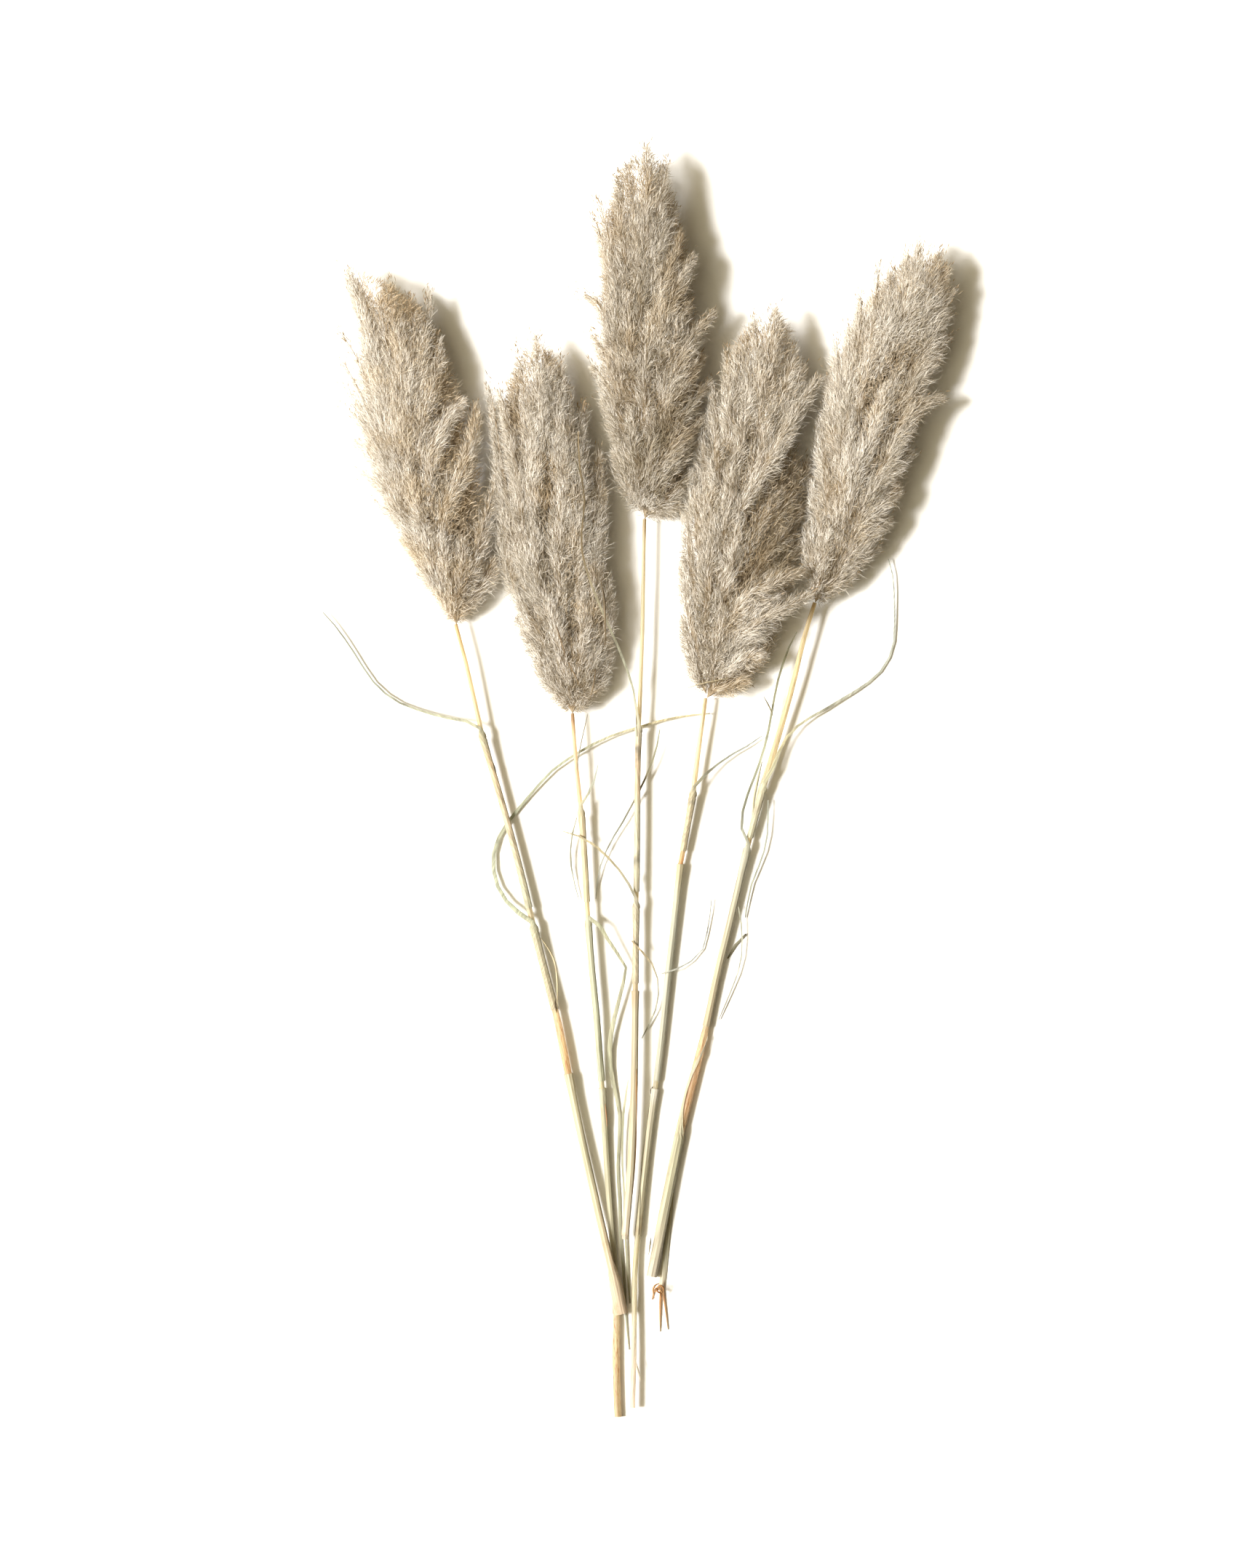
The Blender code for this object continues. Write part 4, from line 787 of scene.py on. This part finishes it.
def straw_finish(name, stops, axis="Y", turn=0.0, blotch=None, flecks=None, rough=(0.42, 0.62), grain=1.0, green=0.0, solid=False):
    """Dry straw: a colour that changes along the piece, streaked by its fibres. The stops are
    plan positions and colours, blotch is a colour and its share, and flecks is a colour and the
    plan positions and strengths between which it shows. Light spreads inside a solid culm."""
    made = bpy.data.materials.new(name)
    made.use_nodes = True
    tree = made.node_tree
    link = tree.links.new
    shader = tree.nodes["Principled BSDF"]
    place = node(tree, "ShaderNodeTexCoord")
    split = node(tree, "ShaderNodeSeparateXYZ")
    link(place.outputs["Object"], split.inputs[0])

    def along(values, spread):
        """The share of the way between two plan positions, wavered by noise."""
        first, last = values
        ends = [world(v, v)[0 if axis == "X" else 1] for v in (first, last)]
        made = node(tree, "ShaderNodeMapRange")
        made.inputs["From Min"].default_value, made.inputs["From Max"].default_value = ends
        link(spread, made.inputs["Value"])
        return made.outputs["Result"]

    wave = node(tree, "ShaderNodeTexNoise", in_Scale=70.0, in_Detail=2.0)
    link(place.outputs["Object"], wave.inputs["Vector"])
    shift = node(tree, "ShaderNodeMath", operation="MULTIPLY_ADD")
    shift.inputs[1].default_value = 0.012
    link(wave.outputs["Fac"], shift.inputs[0])
    link(split.outputs[axis], shift.inputs[2])

    stops = sorted((p, r - 5 * green, g + 4 * green, b + 9 * green) if r - g < 9 else (p, r, g, b) for p, r, g, b in stops)
    first, last = stops[0][0], stops[-1][0]
    base = ramp(tree, [((p - first) / max(last - first, 1), tint(*c)) for p, *c in stops] if last > first else [(0, tint(*stops[0][1:])), (1, tint(*stops[0][1:]))])
    link(along((first, max(last, first + 1)), shift.outputs[0]), base.inputs["Fac"])
    colour = base.outputs["Color"]

    level = node(tree, "ShaderNodeMapping")
    level.inputs["Rotation"].default_value = (0.0, 0.0, turn)
    link(place.outputs["Object"], level.inputs["Vector"])

    def fibres(across, length, detail):
        stretch = node(tree, "ShaderNodeMapping")
        stretch.inputs["Scale"].default_value = (across, length, across)
        link(level.outputs[0], stretch.inputs["Vector"])
        noise = node(tree, "ShaderNodeTexNoise", in_Scale=1.0, in_Detail=detail)
        link(stretch.outputs[0], noise.inputs["Vector"])
        return noise.outputs["Fac"]

    coarse, fine = fibres(620.0, 9.0, 3.0), fibres(2100.0, 26.0, 2.0)
    for height, low, high in ((coarse, 1 - 0.34 * grain, 1 + 0.26 * grain), (fine, 1 - 0.2 * grain, 1 + 0.14 * grain)):
        streak = ramp(tree, [(0.3, (low, low * 0.985, low * 0.96)), (0.7, (high, high, high))])
        link(height, streak.inputs["Fac"])
        mixed = node(tree, "ShaderNodeMix", data_type="RGBA", blend_type="MULTIPLY")
        mixed.inputs["Factor"].default_value = 1.0
        link(colour, mixed.inputs["A"])
        link(streak.outputs["Color"], mixed.inputs["B"])
        colour = mixed.outputs["Result"]

    if blotch:
        stain, share = blotch
        spots = node(tree, "ShaderNodeTexNoise", in_Scale=48.0, in_Detail=3.0)
        link(place.outputs["Object"], spots.inputs["Vector"])
        edge = ramp(tree, [(0.66 - 0.36 * share, (0, 0, 0)), (0.86 - 0.36 * share, (1, 1, 1))])
        link(spots.outputs["Fac"], edge.inputs["Fac"])
        mixed = node(tree, "ShaderNodeMix", data_type="RGBA")
        link(edge.outputs["Color"], mixed.inputs["Factor"])
        link(colour, mixed.inputs["A"])
        mixed.inputs["B"].default_value = (*tint(*stain), 1)
        colour = mixed.outputs["Result"]

    if flecks:
        stain, marks = flecks
        dots = fibres(760.0, 130.0, 2.0)
        edge = ramp(tree, [(0.50, (0, 0, 0)), (0.66, (1, 1, 1))])
        link(dots, edge.inputs["Fac"])
        marks = sorted(marks)
        lo, hi = marks[0][0], marks[-1][0]
        where = ramp(tree, [((p - lo) / (hi - lo), (v, v, v)) for p, v in marks])
        link(along((lo, hi), split.outputs[axis]), where.inputs["Fac"])
        both = node(tree, "ShaderNodeMath", operation="MULTIPLY")
        link(edge.outputs["Color"], both.inputs[0])
        link(where.outputs["Color"], both.inputs[1])
        mixed = node(tree, "ShaderNodeMix", data_type="RGBA")
        link(both.outputs[0], mixed.inputs["Factor"])
        link(colour, mixed.inputs["A"])
        mixed.inputs["B"].default_value = (*tint(*stain), 1)
        colour = mixed.outputs["Result"]

    link(colour, shader.inputs["Base Color"])
    shader.inputs["Specular IOR Level"].default_value = 0.3
    if solid:
        shader.inputs["Subsurface Weight"].default_value = 0.85
        shader.inputs["Subsurface Radius"].default_value = (1.0, 0.92, 0.7)
        shader.inputs["Subsurface Scale"].default_value = 0.007
    dull = node(tree, "ShaderNodeMapRange")
    dull.inputs["To Min"].default_value, dull.inputs["To Max"].default_value = rough
    link(coarse, dull.inputs["Value"])
    link(dull.outputs["Result"], shader.inputs["Roughness"])
    ribs = node(tree, "ShaderNodeMath", operation="MULTIPLY_ADD")
    ribs.inputs[1].default_value = 0.6
    link(fine, ribs.inputs[0])
    link(coarse, ribs.inputs[2])
    bump = node(tree, "ShaderNodeBump", in_Strength=0.5, in_Distance=0.0003)
    link(ribs.outputs[0], bump.inputs["Height"])
    link(bump.outputs["Normal"], shader.inputs["Normal"])
    inside = node(tree, "ShaderNodeGamma", in_Gamma=0.55)
    link(colour, inside.inputs["Color"])
    through = node(tree, "ShaderNodeBsdfTranslucent")
    link(inside.outputs[0], through.inputs["Color"])
    mix = node(tree, "ShaderNodeMixShader", in_Fac=0.5 if solid else 0.38)
    link(shader.outputs[0], mix.inputs[1])
    link(through.outputs[0], mix.inputs[2])
    link(mix.outputs[0], tree.nodes["Material Output"].inputs["Surface"])
    return made


def tint(r, g, b):
    """The surface colour of straw that shows as the given screen colour, made a little greyer,
    and greener where it isn't brown."""
    brown = min(1.0, max(0.0, (r - g - 16) / 26))
    g = max(g, r - 4) if r - g < 7 else g + 0.35 * (1 - brown) * (r - g)
    return tuple(v * STRAW_LEVEL for v in lin(r, g, b + (0.46 - 0.36 * brown) * (g - b)))


# ---------------------------------------------------------------- stems and leaves

STRAW_LEVEL = 0.83
ORANGE_FLECK = (170, 114, 60)

# Colours down each culm and leaf: plan y (or x), then the colour as it shows.
CULM_LOOK = {
    1: dict(
        stops=[(858, 206, 176, 122), (900, 226, 202, 148), (1000, 234, 214, 164), (1250, 224, 206, 160), (1390, 240, 212, 168), (1440, 236, 204, 154), (1471, 222, 186, 134)],
        flecks=(ORANGE_FLECK, [(1385, 0.0), (1400, 0.6), (1470, 0.7), (1474, 0.0)]),
    ),
    2: dict(
        stops=[(981, 176, 142, 100), (992, 216, 184, 138), (1004, 236, 210, 166), (1100, 236, 210, 170), (1250, 230, 212, 154), (1400, 216, 206, 150), (1808, 224, 204, 156), (1860, 218, 194, 144), (1949, 208, 186, 136)],
        flecks=((176, 124, 78), [(1805, 0.0), (1815, 0.9), (1900, 0.75), (1949, 0.6)]),
    ),
    3: dict(
        stops=[(714, 196, 170, 122), (735, 222, 202, 154), (860, 228, 208, 160), (1000, 232, 212, 164), (1230, 216, 198, 150), (1345, 214, 192, 146), (1366, 204, 184, 142), (1384, 214, 196, 150), (1704, 240, 224, 196)],
    ),
    4: dict(
        stops=[(960, 214, 188, 138), (985, 238, 218, 168), (1090, 232, 210, 160), (1165, 226, 196, 144), (1180, 214, 170, 116), (1190, 222, 196, 148), (1500, 210, 196, 150), (1700, 214, 202, 152), (1790, 222, 210, 166), (1850, 232, 216, 190), (1935, 236, 218, 200)],
        flecks=(ORANGE_FLECK, [(1150, 0.0), (1172, 0.6), (1188, 0.6), (1196, 0.0)]),
    ),
    5: dict(
        stops=[(829, 206, 178, 124), (850, 226, 202, 148), (950, 232, 210, 156), (1080, 226, 206, 156), (1400, 214, 192, 148), (1425, 238, 208, 164), (1500, 236, 200, 154), (1560, 226, 196, 148), (1700, 220, 206, 168), (1752, 232, 214, 194)],
        flecks=(ORANGE_FLECK, [(1405, 0.0), (1420, 0.6), (1550, 0.6), (1575, 0.0)]),
    ),
}

OLIVE, GREY, DARK = (188, 184, 138), (176, 172, 148), (104, 96, 70)
LEAF_LOOK = {
    "leaf_1a": dict(stops=[(842, *GREY), (930, 178, 176, 150), (985, 196, 192, 146), (1018, 214, 198, 152), (1040, 232, 206, 160), (1120, 234, 212, 172), (1200, 220, 208, 160), (1248, 210, 204, 152)], blotch=(DARK, 0.16)),
    "leaf_1b": dict(stops=[(981, 224, 208, 150), (1000, 212, 204, 156), (1040, 196, 194, 150), (1120, 190, 188, 144), (1170, 206, 204, 164), (1240, 196, 196, 148), (1284, 214, 204, 160), (1388, 210, 192, 146)], blotch=(DARK, 0.12)),
    "leaf_1c": dict(stops=[(1471, 226, 214, 164), (1600, 216, 206, 156), (1700, 222, 200, 160), (1806, 230, 206, 176)], blotch=((178, 148, 104), 0.1)),
    "leaf_2a": dict(stops=[(1052, 206, 206, 186), (1096, 214, 206, 160), (1124, 226, 206, 158), (1240, 224, 208, 148)]),
    "leaf_2b": dict(axis="X", stops=[(812, 216, 210, 164), (830, 210, 206, 158), (836, 194, 190, 138), (848, 212, 206, 158), (866, 190, 184, 140)], blotch=((140, 132, 84), 0.16)),
    "leaf_2c": dict(stops=[(1496, 226, 220, 172), (1510, 212, 206, 152), (1650, 212, 206, 158), (1806, 204, 192, 144)], blotch=((168, 132, 84), 0.14)),
    "leaf_3a": dict(stops=[(596, 176, 152, 106), (660, 122, 102, 66), (700, 128, 108, 70), (760, 150, 128, 88), (820, 190, 180, 138), (900, 188, 184, 146), (960, 220, 214, 172), (1010, 224, 210, 168), (1030, 226, 200, 160), (1085, 228, 204, 164), (1100, 222, 212, 168), (1226, 222, 212, 168)], blotch=(DARK, 0.2)),
    "leaf_3b": dict(stops=[(1143, 206, 190, 140), (1170, 190, 174, 124), (1220, 190, 182, 150), (1252, 216, 202, 160), (1352, 212, 194, 152)], blotch=(DARK, 0.16)),
    "leaf_3c": dict(stops=[(1362, 202, 180, 136), (1385, 214, 198, 154), (1500, 216, 200, 156), (1600, 220, 206, 164), (1698, 238, 220, 190)], blotch=((170, 128, 78), 0.08)),
    "leaf_4a": dict(stops=[(1012, 186, 184, 168), (1060, 176, 170, 132), (1098, 222, 204, 156), (1170, 226, 206, 158)], blotch=(DARK, 0.24)),
    "leaf_4b": dict(stops=[(1188, 216, 202, 148), (1260, 222, 216, 178), (1400, 226, 220, 184), (1486, 228, 222, 188)]),
    "leaf_4c": dict(stops=[(1497, 238, 230, 206), (1512, 224, 214, 176), (1600, 214, 204, 156), (1699, 204, 190, 136)], blotch=((172, 142, 92), 0.12)),
    "leaf_5a": dict(stops=[(769, 200, 198, 180), (880, 192, 190, 170), (960, 202, 198, 168), (1010, 214, 204, 150), (1056, 214, 208, 156), (1092, 224, 212, 168), (1152, 214, 206, 158)], blotch=(DARK, 0.18)),
    "leaf_5b": dict(stops=[(869, 140, 132, 84), (950, 158, 152, 102), (1033, 196, 194, 146), (1100, 150, 146, 112), (1142, 180, 176, 146), (1176, 212, 204, 166), (1300, 206, 194, 152), (1411, 212, 192, 148)], blotch=(DARK, 0.16)),
    "leaf_5c": dict(stops=[(1420, 226, 216, 184), (1500, 206, 202, 156), (1566, 210, 202, 150), (1640, 214, 206, 156), (1752, 226, 212, 186)], blotch=((172, 142, 96), 0.12)),
    "leaf_strip_1": dict(stops=[(1003, *OLIVE), (1060, 150, 138, 96), (1130, 160, 156, 130), (1236, 196, 194, 180)], blotch=(DARK, 0.26)),
    "leaf_strip_2": dict(stops=[(1124, 180, 174, 136), (1238, 190, 188, 166)], blotch=(DARK, 0.22)),
    "leaf_strip_3": dict(stops=[(1484, 226, 220, 178), (1540, 190, 184, 130), (1640, 200, 194, 150), (1792, 168, 160, 112)], blotch=(DARK, 0.16)),
    "leaf_strip_4": dict(stops=[(1293, 200, 178, 132), (1345, 196, 188, 158), (1428, 186, 180, 146)], blotch=(DARK, 0.18)),
    "leaf_strip_5": dict(stops=[(1236, 176, 172, 160), (1320, 206, 204, 192), (1339, 226, 218, 182)], blotch=(DARK, 0.14)),
    "leaf_strip_6": dict(stops=[(1100, 190, 188, 168), (1262, 186, 184, 150)], blotch=(DARK, 0.2)),
    "leaf_strip_7": dict(stops=[(1284, 150, 142, 104), (1318, 128, 114, 74)], blotch=(DARK, 0.2)),
    "leaf_strip_8": dict(stops=[(1246, 200, 196, 160), (1320, 206, 202, 180), (1402, 160, 150, 124)], blotch=(DARK, 0.2)),
    "torn_sheath": dict(stops=[(1640, 206, 192, 142), (1720, 218, 210, 164), (1755, 230, 218, 182), (1764, 214, 176, 128), (1780, 200, 156, 104), (1831, 196, 170, 128)], flecks=((150, 96, 54), [(1755, 0.0), (1762, 0.9), (1778, 0.8), (1790, 0.2)])),
}

# Small loose pieces too slight to have a body, and a few dark strips of painted shadow and shade: plan x, y, height and
# half-width in mm.
# Where the height is None the piece lies on the straw under it.
BITS = {
    "rib_3": ([(874.6, 1470, None, 0.3), (874.6, 1500, None, 0.7), (874.0, 1560, None, 0.8), (872.4, 1600, None, 0.7), (870, 1640, None, 0.3)], (196, 152, 98)),
    # Painted shadow: a dark olive strip where stem 3's shadow falls along the left edge of stem 4's sheath.
    "painted_shadow_4": ([(886, 1506, None, 0.3), (884.6, 1540, None, 0.6), (882, 1600, None, 0.6), (880, 1650, None, 0.5), (878, 1696, None, 0.3)], (158, 150, 108)),
    # Painted shade: a dark spot in the open end of the stub, where stem 3's shadow also ends.
    "nick_4": ([(890.5, 1494, None, 0.3), (892, 1498, None, 0.7), (893, 1503, None, 0.3)], (104, 92, 66)),
    "nick_1": ([(682, 1049, None, 0.2), (684, 1056, None, 0.55), (686, 1063, None, 0.2)], (92, 74, 48)),
    "nick_1_b": ([(763, 1376, None, 0.3), (764, 1384, None, 0.7), (765, 1391, None, 0.3)], (112, 90, 60)),
    "mark_2": ([(832, 1518, None, 0.2), (833.4, 1532, None, 0.5), (834.4, 1548, None, 0.2)], (188, 138, 96)),
    "curl_1": ([(905, 1764, 10.0, 0.5), (900, 1767, 11.0, 0.9), (897.6, 1773, 10.0, 0.9), (899.4, 1784, 7.0, 0.3)], (206, 160, 106)),
    "curl_2": ([(903, 1772, 9.5, 0.5), (907, 1767, 11.5, 1.0), (911.6, 1770, 11.0, 0.9), (911, 1777, 8.5, 0.3)], (198, 150, 96)),
    "curl_3": ([(900, 1776, 8.5, 0.5), (905, 1772, 10.5, 0.9), (909, 1775, 10.0, 0.8), (912, 1782, 7.0, 0.3)], (214, 172, 118)),
    "curl_4": ([(901, 1770, 11.5, 0.4), (904, 1775, 12.0, 0.8), (908, 1778, 10.0, 0.7), (909, 1786, 7.0, 0.2)], (178, 126, 76)),
    "shred_p4": ([(946, 946, 20, 0.3), (962, 941, 26, 0.5), (980, 937, 30, 0.6), (1000, 933, 30, 0.3)], (202, 184, 136)),
    "shred_p2_a": ([(826, 800, 47, 0.3), (830, 822, 48, 0.8), (832, 850, 47, 0.9), (832, 890, 42, 0.3)], (126, 104, 70)),
    "shred_p2_b": ([(765, 862, 46, 0.3), (771, 880, 46, 0.7), (778, 904, 42, 0.3)], (140, 112, 76)),
    "shred_p2_c": ([(782, 912, 42, 0.3), (790, 928, 40, 0.6), (796, 942, 38, 0.3)], (150, 122, 84)),
    "shred_p2_d": ([(819, 922, 38, 0.3), (816, 942, 36, 0.7), (811, 962, 32, 0.3)], (136, 112, 76)),
    "shred_p5": ([(1217, 729, 20, 0.3), (1211, 741, 16, 0.7), (1204, 753, 13, 0.3)], (206, 184, 132)),
    "shred_5_a": ([(1047, 1048, 11.2, 0.4), (1041, 1074, 10.2, 1.1), (1036, 1100, 9.2, 1.0), (1035, 1128, 8.6, 0.3)], (186, 184, 134)),
    "shred_5_b": ([(1062, 984, 13, 0.3), (1057, 972, 15, 0.7), (1050, 959, 17, 0.3)], (150, 138, 92)),
    # Painted shade: a dark strip in the shaded slit beside stem 5.
    "shred_5_c": ([(895, 1700, 11.4, 0.3), (893.6, 1710, 11.2, 0.8), (891.6, 1724, 10.6, 0.3)], (140, 128, 92)),
    "shred_4_a": ([(874.5, 1872, 11.6, 0.4), (877, 1884, 11.8, 0.9), (880.5, 1897, 10.6, 0.3)], (222, 208, 180)),
    "shred_1_a": ([(744, 1290, 13.4, 0.4), (755, 1306, 14.6, 0.8), (763, 1324, 14.4, 0.9), (766, 1348, 13.4, 0.9), (766, 1384, 12.8, 0.3)], (206, 188, 140)),
    "shred_2_a": ([(808, 982, 19, 0.25), (801, 1012, 18, 0.5), (796, 1036, 17, 0.5), (793, 1058, 17.2, 0.25)], (160, 152, 122)),
    "shred_2_b": ([(791, 1132, 8.6, 0.25), (785, 1160, 6.0, 0.5), (784, 1186, 4.4, 0.5), (788, 1208, 3.4, 0.25)], (168, 164, 134)),
    "twig_p2": ([(791, 634, 46, 0.3), (796, 648, 46, 0.55), (801, 668, 46, 0.55), (805, 692, 46, 0.3)], (124, 110, 66)),
    "shred_3_a": ([(873.6, 972, 17.2, 0.3), (874.6, 992, 16.8, 0.6), (875.6, 1012, 16.2, 0.3)], (150, 140, 96)),
}


def dress(name, finish):
    """Gives a CAD node its finish."""
    for slot in NODES[name].material_slots:
        slot.material = finish


def straw_top():
    """Finds the height of the straw over a point of the plan, or over the nearest point beside it
    that has straw."""
    trees = []
    for name, obj in NODES.items():
        if not name.startswith("plume_"):
            points = [v.co.copy() for v in obj.data.vertices]
            trees.append(BVHTree.FromPolygons(points, [tuple(p.vertices) for p in obj.data.polygons]))

    def top(x, y):
        for step in sorted(range(-24, 25), key=abs):
            at = x + step * PLAN / 2
            hits = [tree.ray_cast(Vector((at, y, 0.2)), Vector((0, 0, -1)))[0] for tree in trees]
            heights = [hit.z for hit in hits if hit is not None]
            if heights:
                return at, max(heights)
        return x, 0.0003

    return top


def bit(name, rows, colour, top):
    """A loose shred of leaf, or a dark strip of painted shade: a thin strip with four sides that narrows to a point at
    both ends.
    """
    points = []
    for x, y, z, half in rows:
        at = world(x, y, 0 if z is None else z)
        if z is None:
            at[0], at[2] = top(at[0], at[1])
            at[2] += 0.0003
        points.append([*at, half * MM])
    points = np.array(points)
    run, _ = smooth_run(points, 14)
    half = run[:, 3]
    run = run[:, :3]
    tangent = unit(np.gradient(run, axis=0))
    side = unit(np.cross(tangent, [0, 0, 1.0]))
    up = np.cross(side, tangent)
    ring = np.stack(
        [run - side * half[:, None], run + up * 0.00018, run + side * half[:, None], run - up * 0.00018], axis=1
    )
    verts = np.vstack([ring.reshape(-1, 3), run[:1] - tangent[:1] * 0.001, run[-1:] + tangent[-1:] * 0.001])
    i, j = np.meshgrid(np.arange(13), np.arange(4), indexing="ij")
    a, b = i * 4 + j, i * 4 + (j + 1) % 4
    quads = np.stack([a, a + 4, b + 4, b], -1).reshape(-1, 4)
    k = np.arange(4)
    ends = np.vstack([np.stack([k, (k + 1) % 4, np.full(4, 56)], -1), np.stack([52 + (k + 1) % 4, 52 + k, np.full(4, 57)], -1)])
    uvs = np.empty((58, 2))
    uvs[:56, 0] = np.tile([0.02, 0.35, 0.65, 0.98], 14)
    uvs[:56, 1] = np.repeat(np.linspace(0.04, 0.96, 14), 4)
    uvs[56:] = [[0.5, 0.01], [0.5, 0.99]]
    ys = sorted(r[1] for r in rows)
    pale = tuple(min(255, v + 26) for v in colour)
    finish = straw_finish(f"{name}_straw", [(ys[0], *colour), ((ys[0] + ys[-1]) / 2, *pale), (ys[-1], *colour)], grain=0.8)
    made = mesh_piece(name, verts, [quads, ends], uvs, finish)
    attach(made, "root")
    return made


# ---------------------------------------------------------------- build

for number in range(1, 6):
    env = Envelope(f"plume_{number}")
    rng = np.random.default_rng(PLUME_LOOK[number]["seed"])
    finish = hair_finish(f"pampas_hair_{number}")
    tails = shown_tails(number, env) + filler_tails(env, rng, 34)
    plume(number, tails, env, rng, finish, PLUME_LOOK[number])

for number, look in CULM_LOOK.items():
    name = f"stem_{number}"
    dress(name, straw_finish(f"culm_{number}", turn=lean(name), rough=(0.36, 0.56), solid=True, **look))
for name, look in LEAF_LOOK.items():
    dress(name, straw_finish(f"{name}_straw", turn=lean(name), green=0.2 if name.endswith("c") else 0.6, **look))
top = straw_top()
for name, (rows, colour) in BITS.items():
    bit(name, rows, colour, top)

# ---------------------------------------------------------------- floor, light, camera

floor_mesh = bpy.data.meshes.new("floor")
half = 6.0
floor_mesh.from_pydata([(-half, -half, -0.0002), (half, -half, -0.0002), (half, half, -0.0002), (-half, half, -0.0002)], [], [(0, 1, 2, 3)])
floor = bpy.data.objects.new("floor", floor_mesh)
bpy.context.scene.collection.objects.link(floor)
pale = bpy.data.materials.new("pale_floor")
pale.use_nodes = True
pale.node_tree.nodes["Principled BSDF"].inputs["Base Color"].default_value = (0.9, 0.9, 0.9, 1)
pale.node_tree.nodes["Principled BSDF"].inputs["Roughness"].default_value = 0.9
pale.node_tree.nodes["Principled BSDF"].inputs["Specular IOR Level"].default_value = 0.0
floor_mesh.materials.append(pale)

sky = bpy.data.worlds.new("sky")
bpy.context.scene.world = sky
sky.use_nodes = True
sky.node_tree.nodes["Background"].inputs["Color"].default_value = (*lin(150, 136, 108), 1)
sky.node_tree.nodes["Background"].inputs["Strength"].default_value = 0.52

rise = math.radians(48)
toward = Vector((-math.cos(rise), 0.0, math.sin(rise)))
for name, energy, wide, colour in (("key", 6.9, 15, (1.0, 0.985, 0.965)), ("wide_fill", 1.9, 66, (1.0, 0.87, 0.58))):
    sun = bpy.data.lights.new(name, "SUN")
    sun.energy = energy
    sun.angle = math.radians(wide)
    sun.color = colour
    lamp = bpy.data.objects.new(name, sun)
    lamp.rotation_mode = "QUATERNION"
    lamp.rotation_quaternion = toward.to_track_quat("Z", "Y")
    bpy.context.scene.collection.objects.link(lamp)

lens = 200.0
tall = 2156 * PLAN
away = tall / 2 / (36.0 / 2 / lens)
eye = bpy.data.cameras.new("camera")
eye.lens = lens
eye.sensor_width = 36.0
eye.clip_start, eye.clip_end = 0.1, 60
camera = bpy.data.objects.new("camera", eye)
centre = world(862.5, 1078)
camera.location = (centre[0], centre[1], away)
camera.rotation_euler = (0, 0, 0)
bpy.context.scene.collection.objects.link(camera)
bpy.context.scene.camera = camera

bpy.context.scene.view_settings.view_transform = "Standard"
bpy.context.scene.view_settings.look = "None"
bpy.context.scene.view_settings.exposure = 0.0
bpy.context.scene.view_settings.gamma = 1.0
